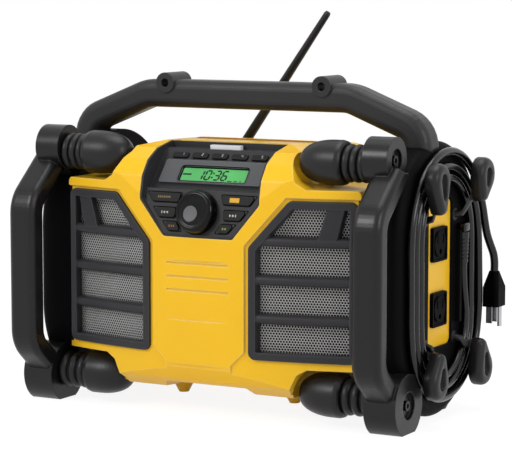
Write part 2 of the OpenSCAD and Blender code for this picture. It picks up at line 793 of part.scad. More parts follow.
window_h = (grille_z1 - grille_z0 - 2 * grille_rim - 3 * slat_h) / 4;
row_pitch = window_h + slat_h;
speaker_u = mesh_l / 2 + 1;
cone_r = min(speaker_r, mesh_l / 2 - 5);
speaker_z = grille_z0 + grille_rim + 2 * window_h + 1.5 * slat_h;

// A shell that follows the bow of the face, between two depths behind it
module bow_shell(d0, d1) {
    translate([0, face_y + bow_r, 0]) difference() {
        cylinder(r = bow_r - d0, h = 300, $fn = 360);
        translate([0, 0, -1]) cylinder(r = bow_r - d1, h = 302, $fn = 360);
    }
}

// One slat: a rounded bar that follows the bow
module slat(z) {
    a0 = asin((grille_x0 + 2) / bow_r);
    a1 = asin((grille_x1 - 2) / bow_r);
    translate([0, face_y + bow_r, z]) rotate([0, 0, -90 + a0]) rotate_extrude(angle = a1 - a0)
        translate([bow_r - grille_d, 0]) polygon(concat([[0.4, 0]],
            [for (a = [-90:15:90]) [grille_d + 0.2 + slat_h / 2 * (cos(a) - 1),
                slat_h / 2 * (1 + sin(a))]], [[0.4, slat_h]]));
}

bar_near = grille_x0 + (grille_x1 - grille_x0) * 0.645;
slant_w = 17.5;
module grille_frame_solid() {
    intersection() {
        bow_shell(-1, grille_d);
        from_front(-60, 60) difference() {
            grille_outline(0);
            grille_outline(grille_rim);
        }
    }
    intersection() {
        bow_shell(0.5, grille_d - 0.8);
        from_front(-60, 60) polygon([
            [bar_near, grille_z1 - grille_rim - window_h - 2],
            [bar_near + slant_w, grille_z1 - grille_rim - window_h - 2],
            [bar_near + slant_w + 8, grille_z1 - 4], [bar_near + 9.5, grille_z1 - 4]]);
    }
    intersection() {
        for (i = [1:3]) slat(grille_z0 + grille_rim + i * row_pitch - slat_h);
        from_front(-60, 60) grille_outline(2);
    }
}
module right_grille_frame() { color(PANEL_GREY) placed() grille_frame_solid(); }
module left_grille_frame() { color(PANEL_GREY) placed() on_left() grille_frame_solid(); }

// Centres of the mesh's holes on the flat: rows of a honeycomb, kept inside the frame
hole_r = (mesh_pitch - mesh_web) / 2 / cos(30);
row_step = mesh_pitch * sin(60);
mesh_h = grille_z1 - grille_z0 - 10;
function hole_centres() = [
    for (j = [0:floor((mesh_h - 2 * mesh_pitch) / row_step)])
    for (i = [0:floor((mesh_l - 2.2 * mesh_pitch) / mesh_pitch)])
    let (x = mesh_pitch * (i + 1.1 + (j % 2) / 2), z = mesh_pitch * 0.9 + j * row_step)
    if (x < mesh_l - 0.8 * mesh_pitch && x * 45 - (z - mesh_h + 45) * 40 > 45 * mesh_pitch * 0.9) [x, z]];

module speaker_mesh_solid() {
    centres = hole_centres();
    edge = [[0, 0], [mesh_l, 0], [mesh_l, mesh_h], [40, mesh_h], [0, mesh_h - 45]];
    holes = [for (c = centres) for (k = [0:5])
        c + hole_r * [cos(60 * k + 30), sin(60 * k + 30)]];
    on_mesh_flat() translate([0, grille_z0 + 5, -mesh_t]) linear_extrude(mesh_t) polygon(
        concat(edge, holes),
        concat([[0, 1, 2, 3, 4]], [for (n = [0:len(centres) - 1]) [for (k = [0:5]) 5 + 6 * n + k]]));
}
module right_speaker_mesh() { color("#8c8f92") placed() speaker_mesh_solid(); }
module left_speaker_mesh() { color("#8c8f92") placed() on_left() speaker_mesh_solid(); }

// Loudspeaker: basket, paper cone with its roll surround, and magnet
module at_speaker() {
    on_mesh_flat() translate([speaker_u, speaker_z, -mesh_t - seat_gap - baffle])
        rotate([180, 0, 0]) children();
}
module basket_solid() {
    at_speaker() rotate_extrude() polygon([
        [cone_r - 1, 0], [cone_r + 6, 0], [cone_r + 6, 2.5], [cone_r + 2, 4],
        [30, 26], [30, 30], [14, 30], [14, 28], [27, 28], [27, 24.5], [cone_r - 1, 3]]);
}
module cone_solid() {
    at_speaker() rotate_extrude() union() {
        polygon([[0, 9], [12, 13], [cone_r - 8, -1], [cone_r - 3, -1], [cone_r - 1.2, 0.3],
            [cone_r - 1.2, 2.6], [cone_r - 8, 1.2], [13.5, 14.8], [13.5, 26], [12, 26],
            [12, 15.5], [0, 11]]);
        intersection() {
            translate([cone_r - 5, 0]) circle(3, $fn = 24);
            translate([0, -4]) square([80, 4]);
        }
    }
}
module magnet_solid() {
    at_speaker() {
        translate([0, 0, 30]) cylinder(r = 29, h = 12);
        translate([0, 0, 42]) cylinder(r = 22, h = 4);
    }
}
module right_speaker_basket() { color("#2a2c2e") placed() basket_solid(); }
module left_speaker_basket() { color("#2a2c2e") placed() on_left() basket_solid(); }
module right_speaker_cone() { color("#1d1d1d") placed() cone_solid(); }
module left_speaker_cone() { color("#1d1d1d") placed() on_left() cone_solid(); }
module right_speaker_magnet() { color("#55585c") placed() magnet_solid(); }
module left_speaker_magnet() { color("#55585c") placed() on_left() magnet_solid(); }

// ---------------------------------------------------------------- controls

// Outline of a key field piece, mirrored for the right-hand keys
function key_outline(row) =
    row == 1 ? [[-53, 33.5], [-25, 33.5], [-22.5, 42], [-59, 42]] :
    row == 2 ? [[-44, 18.5], [-27.5, 18.5], [-26.5, 27.5], [-51, 27.5]] :
    [[-32, 5.9], [-19.5, 5.9], [-24.5, 14], [-39, 14]];

module key_shape(row) {
    soft_corners(2, 0, $fn = 24) polygon(key_outline(row));
}

panel_t = 3;
board_z = -9.6;

// A key: cap through the panel, a flange that stops it behind, and a stem to its switch
module key_body() {
    translate([0, 0, -panel_t - 1.8]) linear_extrude(panel_t + 1.8 + key_proud) children();
    translate([0, 0, -panel_t - 1.8]) linear_extrude(1.4) offset(delta = 1.2) children();
}

module side_key(row, side) {
    color("#2c2c2e") placed() on_key_field() scale([side, 1, 1]) {
        key_body() key_shape(row);
        p = key_outline(row);
        translate([(p[0][0] + p[1][0]) / 2, (p[0][1] + p[2][1]) / 2,
            board_z + key_travel + 0.2])
            cylinder(r = 2, h = -board_z - panel_t - key_travel - 1);
    }
}
module left_key_1() { side_key(1, 1); }
module left_key_2() { side_key(2, 1); }
module left_key_3() { side_key(3, 1); }
module right_key_1() { side_key(1, -1); }
module right_key_2() { side_key(2, -1); }
module right_key_3() { side_key(3, -1); }

preset_w = 17;
preset_h = 6;
preset_s = 47.5;
module preset_at(i) { translate([(i - 3) * preset_pitch, preset_s]) children(); }
module preset_key(i) {
    color("#2c2c2e") placed() on_lcd_field() translate([(i - 3) * preset_pitch, preset_s, 0]) {
        key_body() rounded_rect(preset_w, preset_h, 1.5);
        translate([0, 0, board_z + key_travel + 0.2])
            cylinder(r = 1.8, h = -board_z - panel_t - key_travel - 1);
    }
}
module preset_key_1() { preset_key(1); }
module preset_key_2() { preset_key(2); }
module preset_key_3() { preset_key(3); }
module preset_key_4() { preset_key(4); }
module preset_key_5() { preset_key(5); }

// The pale key on the lip above the presets
light_w = 34;
light_d = 7;
light_y = lip_y + 6.7;
module light_key() {
    color("#d8d8d8") placed() translate([0, light_y, lip_z]) {
        translate([0, 0, -panel_t - 1.8]) linear_extrude(panel_t + 5.8) rounded_rect(light_w, light_d, 1.5);
        translate([0, 0, -panel_t - 1.8]) linear_extrude(1.4) rounded_rect(light_w + 2.4, light_d + 2.4, 1.5);
    }
}

module control_panel() {
    color(PANEL_GREY) placed() difference() {
        union() {
            intersection() {
                body_form_near_panel();
                niche(panel_t, seat_gap);
            }
            on_lcd_field() for (x = [-50, 50]) translate([x, 36, board_z]) cylinder(r = 2.5, h = -board_z - 1);
        }
        intersection() {
            niche(0, 2);
            translate([-100, -60, key_field[1] + 3]) cube([200, 200, 200]);
        }
        on_key_field() {
            for (s = [-1, 1], row = [1:3]) scale([s, 1, 1]) translate([0, 0, -10])
                linear_extrude(20) offset(delta = move_gap) key_shape(row);
            translate([dial_x, dial_s, -10]) cylinder(r = bush_r + seat_gap, h = 20);
        }
        on_lcd_field() for (i = [1:5]) preset_at(i) translate([0, 0, -10]) linear_extrude(20)
            offset(delta = move_gap) rounded_rect(preset_w, preset_h, 1.5);
        translate([0, light_y, lip_z - 10]) linear_extrude(20)
            offset(delta = move_gap) rounded_rect(light_w, light_d, 1.5);
    }
}

// The housing's outer form without its ends, which trims the panel flush with the face
module body_form_near_panel() {
    intersection() {
        from_side(-half_w, half_w) offset(delta = -0.8) soft_corners(6, 6) polygon(side_points());
        translate([0, 0, 100]) linear_extrude(200) translate([0, face_y + bow_r])
            circle(bow_r - 0.8, $fn = 360);
    }
}

lcd_x = 2;
lcd_s = 24.6;
module display_bezel() {
    color("#6c6e72") placed() on_lcd_field() difference() {
        translate([0, 27, 0]) linear_extrude(3) rounded_rect(112, 27, 2);
        translate([lcd_x, lcd_s, -1]) linear_extrude(10) rounded_rect(lcd_w, lcd_h, 1);
    }
}
module display() {
    color("#58c060") placed() on_lcd_field() translate([lcd_x, lcd_s, 0])
        linear_extrude(1.5) rounded_rect(lcd_w - 2 * seat_gap, lcd_h - 2 * seat_gap, 0.9);
}

module circuit_boards() {
    color("darkgreen") placed() {
        on_key_field() translate([0, 0, board_z - 1.6]) difference() {
            linear_extrude(1.6) polygon([[-30, 4], [30, 4], [54, 41], [-54, 41]]);
            translate([dial_x, dial_s, -1]) cylinder(r = shaft_r + 0.5, h = 4);
        }
        on_lcd_field() translate([0, 36, board_z - 1.6]) linear_extrude(1.6)
            rounded_rect(112, 34, 2);
    }
}

// Rotary encoder: its bushing comes through the panel, and the knob's shaft turns in it
dial_s = 24.5;
bush_r = 5.5;
module encoder() {
    color("silver") placed() on_key_field() translate([dial_x, dial_s, 0]) difference() {
        union() {
            translate([-7, -7, board_z]) cube([14, 14, 5]);
            translate([0, 0, board_z]) cylinder(r = bush_r, h = -board_z + 1);
        }
        translate([0, 0, board_z - 1]) cylinder(r = shaft_r + run_gap, h = 30);
    }
}

// Knob with a thumb dimple off its centre
module tuning_knob() {
    color("#121212") placed() on_key_field() translate([dial_x, dial_s, 0]) difference() {
        union() {
            translate([0, 0, 0.6]) difference() {
                rotate_extrude() intersection() {
                    polygon([[0, 0], [knob_r, 0], [knob_r, 3], [knob_r - 1.2, knob_h - 5],
                        [knob_r - 3, knob_h - 1.6], [knob_r - 6, knob_h], [0, knob_h - 1.2]]);
                    square([knob_r, knob_h]);
                }
                translate([0, 0, -1]) cylinder(r = knob_r - 2.5, h = 5);
            }
            translate([0, 0, 2]) cylinder(r = 7, h = 6);
            translate([0, 0, board_z + 0.5]) cylinder(r = shaft_r, h = 14);
        }
        translate([-6.5, -1, knob_h + 19.5]) sphere(r = 21, $fn = 64);
    }
}

// ---------------------------------------------------------------- power

module transformer() {
    color("#5b5d60") placed() {
        translate([-31, 62, belly_z + shell]) cube([62, 30, 54]);
        translate([-21, 54, belly_z + shell + 10]) cube([42, 46, 34]);
    }
}

// The mains board hangs on four posts of the rear housing
board_posts_x = [14 - half_w, 102 - half_w];
board_posts_z = [84, 166];
board_y = back_y - 32;
module mains_board() {
    color("darkgreen") placed() translate([board_posts_x[0] - 5, board_y, board_posts_z[0] - 5])
        cube([board_posts_x[1] - board_posts_x[0] + 10, 1.6, board_posts_z[1] - board_posts_z[0] + 10]);
}

outlet_mid_z = panel_z - 3;
outlet_y = cap_y - 2;
module outlet_panel() {
    color(YELLOW) placed() difference() {
        translate([cap_x - 8, cap_y, panel_z]) rotate([90, 0, 90]) linear_extrude(5.5)
            rounded_rect(outlet_panel_w, outlet_panel_h, 7);
        for (s = [-1, 1]) translate([cap_x - 20, outlet_y, outlet_mid_z + s * outlet_half])
            rotate([90, 0, 90]) linear_extrude(30)
            rounded_rect(outlet_w + 2 * seat_gap, outlet_w + 2 * seat_gap, 2.5);
    }
}

// A grounded outlet: two blade slots and a round earth hole
module outlet(s) {
    color(SOFT_BLACK) placed() translate([cap_x - 22, outlet_y, outlet_mid_z + s * outlet_half])
        rotate([90, 0, 90]) difference() {
            linear_extrude(23) rounded_rect(outlet_w, outlet_w, 2.5);
            translate([-7.4, 1, 8]) cube([2.1, 8.4, 20]);
            translate([5.3, 0.5, 8]) cube([2.1, 9, 20]);
            translate([0, -7, 8]) cylinder(r = 2.6, h = 20);
            translate([0, 0, 21.8]) linear_extrude(5) difference() {
                rounded_rect(outlet_w - 4, outlet_w - 4, 2);
                circle(r = 12.5);
            }
        }
}
module upper_outlet() { outlet(1); }
module lower_outlet() { outlet(-1); }

// ---------------------------------------------------------------- cord wrap

stem_y = 34;
stem_z = 60;
stem_r = 6;
module each_cleat() {
    for (sy = [-1, 1], sz = [-1, 1])
        translate([cap_x, cap_y, cap_z]) rotate([90, 0, 90]) scale([sy, sz, 1]) children();
}
module cleat_pockets() {
    each_cleat() translate([stem_y, stem_z, -4]) cylinder(r = stem_r + seat_gap, h = 10);
}

// A cleat: a round stem and a petal-shaped ear that reaches out over the cord
module cord_cleats() {
    wide = [ear_y, ear_z];
    narrow = [stem_y + 3, stem_z];
    color(SOFT_BLACK) placed() each_cleat() difference() {
        union() {
            translate([stem_y, stem_z, -4]) cylinder(r = stem_r, h = ear_gap + 5);
            for (i = [0:3]) translate([0, 0, ear_gap + (i == 0 ? 1.5 : 0)])
                linear_extrude([ear_t - 6, ear_t - 4, ear_t - 2, ear_t][i])
                petal(wide, ear_r - [0, 1.2, 3, 6][i], narrow, stem_r + [1.5, 0.8, -1, -4][i]);
        }
        translate([0, 0, ear_gap + ear_t - 7]) linear_extrude(20)
            petal([ear_y - 1, ear_z + 3], 6, [ear_y - 5, ear_z - 11], 4);
    }
}

// Route of the cord about the wrap: 24 rings to a turn, from the back straight down, along the
// round bottom, up the front and over the round top. Local x is depth and y is height.
turns = 3;
wrap_h = 40;
function ramp(t) = t <= 0 ? 0 : t >= 1 ? 1 : t * t * (3 - 2 * t);
function bulge(k) = k < 44 || k > 56 ? 0 : pow(sin(180 * (k - 44) / 12), 2);
function wrap_r(k) = cord_r0 + cord_pitch * k / 24 + 11 * bulge(k) + 16 * ramp((k - 64) / 12);
function wrap_xy(k) =
    let (p = k % 24, r = wrap_r(k))
    p <= 3 ? [r, wrap_h * (1 - 2 * p / 3)] :
    p <= 12 ? [r * cos(20 * (p - 3)), -wrap_h - r * sin(20 * (p - 3))] :
    p <= 15 ? [-r, wrap_h * (2 * (p - 12) / 3 - 1)] :
    [-r * cos(20 * (p - 15)), wrap_h + r * sin(20 * (p - 15))];
cord_lie = cord_d / 2 + 0.6;
function wrap_point(k) =
    let (q = wrap_xy(k)) [cap_x + cord_lie + 10.4 * ramp((k - 70.3) / 5), cap_y + q[0], cap_z + q[1]];

// The start leaves the strain relief and drifts out to the first turn; the end hangs down
relief_y = 44;
relief_r = 6;
rib_y = cap_y + 34;
rib_t = cap_y + relief_y - relief_r - seat_gap - rib_y;
relief_tip = 12;
plug_x = cap_x + 15;
plug_y = cap_y + 98;
plug_top = cap_z - 2;
cord_points = concat(
    [for (q = [[relief_y, relief_tip], [relief_y, relief_tip - 10], [relief_y + 2.2, -14], [relief_y + 5.2, -28]])
        [cap_x + cord_lie, cap_y + q[0], cap_z + q[1]]],
    [for (k = [3:24 * turns]) wrap_point(k)],
    [for (q = [[plug_x - 5, plug_y - 2.6, 28], [plug_x - 1.2, plug_y - 0.6, 16],
        [plug_x, plug_y, 7], [plug_x, plug_y, -2]]) [q[0], q[1], cap_z + q[2]]]);

// Least gap between two stretches of the cord that are not neighbours
function least_gap(p) = min([for (i = [0:len(p) - 13]) for (j = [i + 12:len(p) - 1])
    norm(p[i] - p[j])]) - cord_d;
echo(cord_least_gap = least_gap(cord_points));
function length_of(p) = norm([for (i = [1:len(p) - 1]) 0]) * 0
    + [for (i = [1:len(p) - 1]) norm(p[i] - p[i - 1])] * [for (i = [1:len(p) - 1]) 1];
echo(cord_length = length_of(cord_points));

// Sweeps a round section of n sides along points; each ring is square to the way the cord runs
function unit(v) = v / norm(v);
function heading(p, i) = i == 0 ? unit(p[1] - p[0]) :
    i == len(p) - 1 ? unit(p[i] - p[i - 1]) : unit(unit(p[i + 1] - p[i]) + unit(p[i] - p[i - 1]));
function ring(p, i, outline, side) =
    let (t = heading(p, i), u = unit(side - (side * t) * t), v = cross(t, u))
    [for (q = outline) p[i] + q[0] * u + q[1] * v];

// Carries an outline along the points p; its first coordinate stays towards "side"
module sweep(p, outline, side) {
    m = len(p);
    n = len(outline);
    polyhedron(
        [for (i = [0:m - 1]) each ring(p, i, outline, side)],
        concat(
            [for (s = [1:n - 2]) [0, s, s + 1]],
            [for (s = [1:n - 2]) [(m - 1) * n, (m - 1) * n + s + 1, (m - 1) * n + s]],
            [for (i = [0:m - 2]) for (s = [0:n - 1])
                [i * n + s, (i + 1) * n + s, (i + 1) * n + (s + 1) % n]],
            [for (i = [0:m - 2]) for (s = [0:n - 1])
                [i * n + s, (i + 1) * n + (s + 1) % n, i * n + (s + 1) % n]]));
}

module tube(p, d, n) {
    sweep(p, [for (s = [0:n - 1]) d / 2 * [cos(360 * s / n), sin(360 * s / n)]], [1, 0, 0]);
}

module power_cord() { color("#161616") placed() tube(cord_points, cord_d, 6); }

// The tapered sleeve that the cord leaves by, with the block that holds it to the cap
relief_len = 30;
module strain_relief() {
    color("#161616") placed() {
        difference() {
            translate([cap_x + cord_lie, cap_y + relief_y, cap_z + relief_tip])
                cylinder(r1 = cord_d / 2 + 0.8, r2 = relief_r - 0.2, h = relief_len);
            translate([cap_x - 19.95, cap_y + relief_y - 10, cap_z + relief_tip - 5])
                cube([20, 20, relief_len + 20]);
        }
        translate([cap_x, cap_y + relief_y - relief_r, cap_z + relief_tip + relief_len - 0.5])
            cube([9.5, 2 * relief_r, 9.5]);
    }
}

// Grounded plug: a tapered moulded body with two blades and a round pin
plug_w = 24;
plug_t = 17;
plug_len = 35;
module plug_body() {
    color(SOFT_BLACK) placed() translate([plug_x, plug_y, plug_top]) mirror([0, 0, 1]) {
        hull() {
            cylinder(r = cord_d / 2 + 1, h = 8, $fn = 32);
            translate([0, 0, 16]) rotate([0, 0, 90]) linear_extrude(plug_len - 16)
                rounded_rect(plug_w, plug_t, 4, $fn = 32);
        }
    }
}
module plug_prongs() {
    color("silver") placed() translate([plug_x, plug_y, plug_top - plug_len]) {
        for (s = [-1, 1]) translate([-3 - 2.5, s * 6.35 - 0.75, -17]) cube([6.3, 1.5, 17]);
        translate([6, 0, -20]) cylinder(r = 2.3, h = 20);
    }
}

// ---------------------------------------------------------------- antenna

socket_r = 10;
socket_deep = 8;
knuckle_w = 6;
cheek_t = 3.2;
cheek_y = knuckle_w / 2 + 0.3 + cheek_t / 2;
module antenna_base() {
    color(SOFT_BLACK) placed() difference() {
        union() {
            translate([antenna_x, antenna_y, ledge_z - socket_deep + 0.3]) cylinder(r = socket_r, h = socket_deep + 1.5);
            for (s = [-1, 1]) {
                axis_y(antenna_x, antenna_y + s * cheek_y - cheek_t / 2, antenna_z) cylinder(r = 6, h = cheek_t);
                translate([antenna_x - 6, antenna_y + s * cheek_y - cheek_t / 2, ledge_z])
                    cube([12, cheek_t, antenna_z - ledge_z]);
            }
        }
        axis_y(antenna_x, antenna_y - 20, antenna_z) cylinder(r = pin_r, h = 40);
    }
}
module antenna_pin() {
    color("silver") placed() axis_y(antenna_x, antenna_y - cheek_y - cheek_t / 2 - 0.6, antenna_z)
        cylinder(r = pin_r, h = 2 * cheek_y + cheek_t + 1.2);
}

module antenna() {
    color("#161616") placed() translate([antenna_x, antenna_y, antenna_z]) rotate([0, antenna_lean, 0]) difference() {
        union() {
            axis_y(0, -knuckle_w / 2, 0) cylinder(r = 5.5, h = knuckle_w);
            rotate_extrude() polygon([[0, 0], [2.8, 0], [2.8, 7], [antenna_r, 10], [antenna_r, 30],
                [antenna_r - 1.6, antenna_len - 3], [antenna_r - 2.4, antenna_len - 0.6], [0, antenna_len]]);
        }
        axis_y(0, -20, 0) cylinder(r = pin_r + run_gap, h = 40);
    }
}

// ---------------------------------------------------------------- battery bay and door

door_w = bay_w + 2 * door_rim;
door_h = bay_h + 2 * door_rim;
bay_z = 126;
door_z = bay_z;
hinge_z = door_z - door_h / 2 - 5;
hinge_y = back_y + 3;

// Fixed barrels of the door's hinge, at the two ends of the pin
lug_x = door_w / 2 - 16;
module hinge_lugs() {
    both_sides() translate([0, 0, 0]) axis_x(lug_x, hinge_y, hinge_z) {
        cylinder(r = pin_r + 2, h = 16);
        translate([-6, -pin_r - 2, 0]) cube([6, 2 * pin_r + 4, 16]);
    }
}

latch_z = door_z + door_h / 2 - 24;
latch_w = 29;
latch_h = 9.2;
latch_slot = 14.8;
module battery_door() {
    plate_y = back_y - 1.2;
    color(BLACK) placed() difference() {
        union() {
            from_front(plate_y, plate_y + door_t) translate([0, door_z])
                rounded_rect(door_w, door_h, 6);
            for (x = [-36, -24, -12, 0, 12, 24, 36])
                from_front(plate_y, plate_y + door_t + 1.2) translate([x, door_z - 18])
                rounded_rect(3, door_h - 66, 1.4);
            from_front(plate_y - 2.3, plate_y + 1) difference() {
                translate([0, bay_z]) rounded_rect(bay_w - 2, bay_h - 2, 4);
                translate([0, bay_z]) rounded_rect(bay_w - 6, bay_h - 6, 3);
            }
            axis_x(move_gap - lug_x, hinge_y, hinge_z) cylinder(r = pin_r + 2, h = 2 * lug_x - 2 * move_gap);
            translate([move_gap - lug_x, hinge_y - 2, hinge_z]) cube([2 * lug_x - 2 * move_gap, 1.8, 8]);
        }
        axis_x(-door_w, hinge_y, hinge_z) cylinder(r = pin_r + run_gap, h = 2 * door_w);
        from_front(back_y - 10, back_y + 10) translate([0, latch_z]) square([latch_w + 1, latch_slot], center = true);
        from_front(back_y - 10, plate_y) translate([0, bay_z + bay_h / 2]) square([13, 12], center = true);
    }
}

// Sliding thumb latch in the top of the door, held by its plate behind the door
module battery_door_latch() {
    z = latch_z + (latch_slot - latch_h) / 2 - 0.4;
    color("#3a3a3a") placed() difference() {
        union() {
            from_front(back_y - 3, back_y + 4.6) translate([0, z]) square([latch_w, latch_h], center = true);
            from_front(back_y - 3.2, back_y - 1.6) translate([0, z - 1]) square([latch_w + 8, 12], center = true);
            from_front(back_y - 3.2, back_y - 1.6) translate([-5, z])
                square([10, bay_z + bay_h / 2 - 0.4 - z]);
        }
        for (i = [-1:1]) from_front(back_y + 3.8, back_y + 6) translate([0, z + 2.6 * i])
            square([latch_w - 6, 1], center = true);
    }
}

module battery_terminals() {
    color("#202020") placed() {
        from_front(back_y - bay_d, back_y - bay_d + 8) translate([0, bay_z + bay_h / 2 - 22]) difference() {
            square([40, 16], center = true);
            for (x = [-12, -4, 4, 12]) translate([x, 0]) square([3, 10], center = true);
        }
    }
}

front_housing();
rear_housing();
housing_seal();
left_end_cap();
right_end_cap();
handle();
left_guard();
right_guard();
guard_bolts();
upper_left_bumper();
upper_right_bumper();
lower_left_bumper();
lower_right_bumper();
rear_feet();
left_grille_frame();
right_grille_frame();
left_speaker_mesh();
right_speaker_mesh();
left_speaker_basket();
right_speaker_basket();
left_speaker_cone();
right_speaker_cone();
left_speaker_magnet();
right_speaker_magnet();
control_panel();
display_bezel();
display();
circuit_boards();
encoder();
tuning_knob();
left_key_1();
left_key_2();
left_key_3();
right_key_1();
right_key_2();
right_key_3();
preset_key_1();
preset_key_2();
preset_key_3();
preset_key_4();
preset_key_5();
light_key();
transformer();
mains_board();
outlet_panel();
upper_outlet();
lower_outlet();
cord_cleats();
power_cord();
strain_relief();
plug_body();
plug_prongs();
antenna_base();
antenna_pin();
antenna();
battery_door();
battery_door_latch();
battery_terminals();
storage_cover();
hinge_pins();
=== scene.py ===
"""Looks of a jobsite radio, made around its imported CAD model.

Shapes are worked out in millimetres in the radio's working frame: X to the right, Y to the back,
Z up, the floor at Z = 0. metres() turns them into the model's frame.
"""
import math

import bpy
import numpy as np
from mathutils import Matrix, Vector


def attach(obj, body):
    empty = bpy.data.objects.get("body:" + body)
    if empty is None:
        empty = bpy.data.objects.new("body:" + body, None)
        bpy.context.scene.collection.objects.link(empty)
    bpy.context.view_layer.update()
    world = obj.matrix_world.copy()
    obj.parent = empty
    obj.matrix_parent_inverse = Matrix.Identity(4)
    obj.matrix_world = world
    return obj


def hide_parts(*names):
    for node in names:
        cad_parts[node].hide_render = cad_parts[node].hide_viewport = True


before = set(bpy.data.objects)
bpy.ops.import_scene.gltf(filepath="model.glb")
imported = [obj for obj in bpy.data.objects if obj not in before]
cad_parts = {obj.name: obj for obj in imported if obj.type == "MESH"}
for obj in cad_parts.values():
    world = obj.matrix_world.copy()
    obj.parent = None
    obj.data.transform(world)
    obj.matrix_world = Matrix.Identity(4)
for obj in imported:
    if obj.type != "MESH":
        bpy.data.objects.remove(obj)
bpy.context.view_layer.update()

MID_Y = 80.0


def metres(points):
    """Working-frame millimetres to the model's metres: the middle of the depth goes to Y = 0."""
    return (np.asarray(points, float) - [0.0, MID_Y, 0.0]) * 0.001


# ------------------------------------------------------------------ camera

TARGET = (23.0, 60.0, 181.5)
AZIMUTH, ELEVATION, DISTANCE = 28.83, 6.40, 2146.0
SENSOR, LENS = 36.0, 154.3


def add_camera():
    """A long lens on a circle about the radio, aimed at its middle."""
    a, e = math.radians(AZIMUTH), math.radians(ELEVATION)
    back = np.array([math.sin(a) * math.cos(e), -math.cos(a) * math.cos(e), math.sin(e)])
    data = bpy.data.cameras.new("camera")
    data.sensor_width = SENSOR
    data.lens = LENS
    camera = bpy.data.objects.new("camera", data)
    camera.location = metres(np.array(TARGET) + DISTANCE * back)
    camera.rotation_mode = "QUATERNION"
    camera.rotation_quaternion = Vector(-back).to_track_quat("-Z", "Y")
    bpy.context.scene.collection.objects.link(camera)
    bpy.context.scene.camera = camera


add_camera()


# ------------------------------------------------------------------ mesh helpers

def new_mesh(name, points, faces, body="radio", smooth=True, sharp=35.0):
    """One piece from its points, in working millimetres, and its faces. It rides on a body."""
    mesh = bpy.data.meshes.new(name)
    mesh.from_pydata(metres(points).tolist(), [], [list(map(int, f)) for f in faces])
    mesh.validate()
    mesh.update()
    piece = bpy.data.objects.new(name, mesh)
    bpy.context.scene.collection.objects.link(piece)
    if smooth:
        mesh.shade_smooth()
        mesh.set_sharp_from_angle(angle=math.radians(sharp))
    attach(piece, body)
    return piece


def new_pair(name, part):
    """A flat-faced piece on the right and its mirror image on the left."""
    pair = (new_mesh("right_" + name, *part, smooth=False),
            new_mesh("left_" + name, *mirrored(part), smooth=False))
    return pair


def joined(parts):
    """Several lots of points and faces as one."""
    points, faces, base = [], [], 0
    for p, f in parts:
        points.append(np.asarray(p, float))
        faces += [[base + i for i in face] for face in f]
        base += len(p)
    return np.vstack(points), faces


def mirrored(part):
    """The copy on the other side of X = 0, with its faces turned back outwards."""
    points, faces = part
    return np.asarray(points) * [-1, 1, 1], [list(f)[::-1] for f in faces]


def skin(rows, hoop=False):
    """Rings of n points each, joined into one skin by quads. It has a face on either end, or is
    closed into a hoop."""
    rows = np.asarray(rows, float)
    m, n = rows.shape[:2]
    i, s = np.meshgrid(np.arange(m if hoop else m - 1), np.arange(n), indexing="ij")
    a, b = i * n + s, i * n + (s + 1) % n
    step = (i + 1) % m * n - i * n
    faces = np.stack([a, b, b + step, a + step], -1).reshape(-1, 4).tolist()
    if not hoop:
        faces += [list(range(n))[::-1], list(range((m - 1) * n, m * n))]
    return rows.reshape(-1, 3), faces


def along(path, outline, side):
    """Carries an outline along a path. At each point the outline's plane is square to the mean of
    the two neighbouring steps, and its first axis is the part of side that is square to them."""
    path = np.asarray(path, float)
    step = np.diff(path, axis=0)
    step /= np.linalg.norm(step, axis=1)[:, None]
    t = np.vstack([step[:1], step[:-1] + step[1:], step[-1:]])
    t /= np.linalg.norm(t, axis=1)[:, None]
    u = np.asarray(side, float) - (t @ np.asarray(side, float))[:, None] * t
    u /= np.linalg.norm(u, axis=1)[:, None]
    v = np.cross(t, u)
    outline = np.asarray(outline, float)
    if outline.ndim == 2:
        outline = np.broadcast_to(outline, (len(path),) + outline.shape)
    return path[:, None] + outline[..., :1] * u[:, None] + outline[..., 1:] * v[:, None]


# the corners of a rectangle in the order of its quarter turns
QUARTERS = ((1, 1), (-1, 1), (-1, -1), (1, -1))


def circle(r, n):
    """n points round a circle."""
    a = np.arange(n) * 2 * np.pi / n
    return np.stack([r * np.cos(a), r * np.sin(a)], -1)


def at_height(outline, z):
    """A flat outline as points that all lie at one height."""
    outline = np.asarray(outline, float)
    return np.column_stack([outline, np.full(len(outline), z)])


def smooth_path(points, parts):
    """Catmull-Rom curve through the points, with each stretch cut into equal parts."""
    p = np.asarray(points, float)
    p = np.vstack([2 * p[0] - p[1], p, 2 * p[-1] - p[-2]])
    a, b, c, d = p[:-3], p[1:-2], p[2:-1], p[3:]
    t = (np.arange(parts) / parts)[:, None, None]
    curve = 0.5 * (2 * b + (c - a) * t + (2 * a - 5 * b + 4 * c - d) * t ** 2
                   + (3 * b - a - 3 * c + d) * t ** 3)
    return np.vstack([curve.transpose(1, 0, 2).reshape(-1, 3), p[-2:-1]])


def rounded_box(xs, ys, zs, r, n=4):
    """A box whose upright edges are arcs of radius r and whose ends are rounded by quarter steps."""
    cx, cy = (xs[0] + xs[1]) / 2, (ys[0] + ys[1]) / 2
    hx, hy = (xs[1] - xs[0]) / 2, (ys[1] - ys[0]) / 2
    a = np.linspace(0, np.pi / 2, n)
    rings = []
    levels = [(zs[0] + r * (1 - math.sin(t)), r * (1 - math.cos(t))) for t in a[::-1]]
    levels += [(zs[1] - r * (1 - math.sin(t)), r * (1 - math.cos(t))) for t in a]
    for z, inset in levels:
        ring = []
        for quarter, (sx, sy) in enumerate(QUARTERS):
            for t in a:
                w = t + quarter * np.pi / 2
                ring.append([cx + sx * (hx - r) + (r - inset) * math.cos(w),
                             cy + sy * (hy - r) + (r - inset) * math.sin(w), z])
        rings.append(ring)
    return skin(rings)


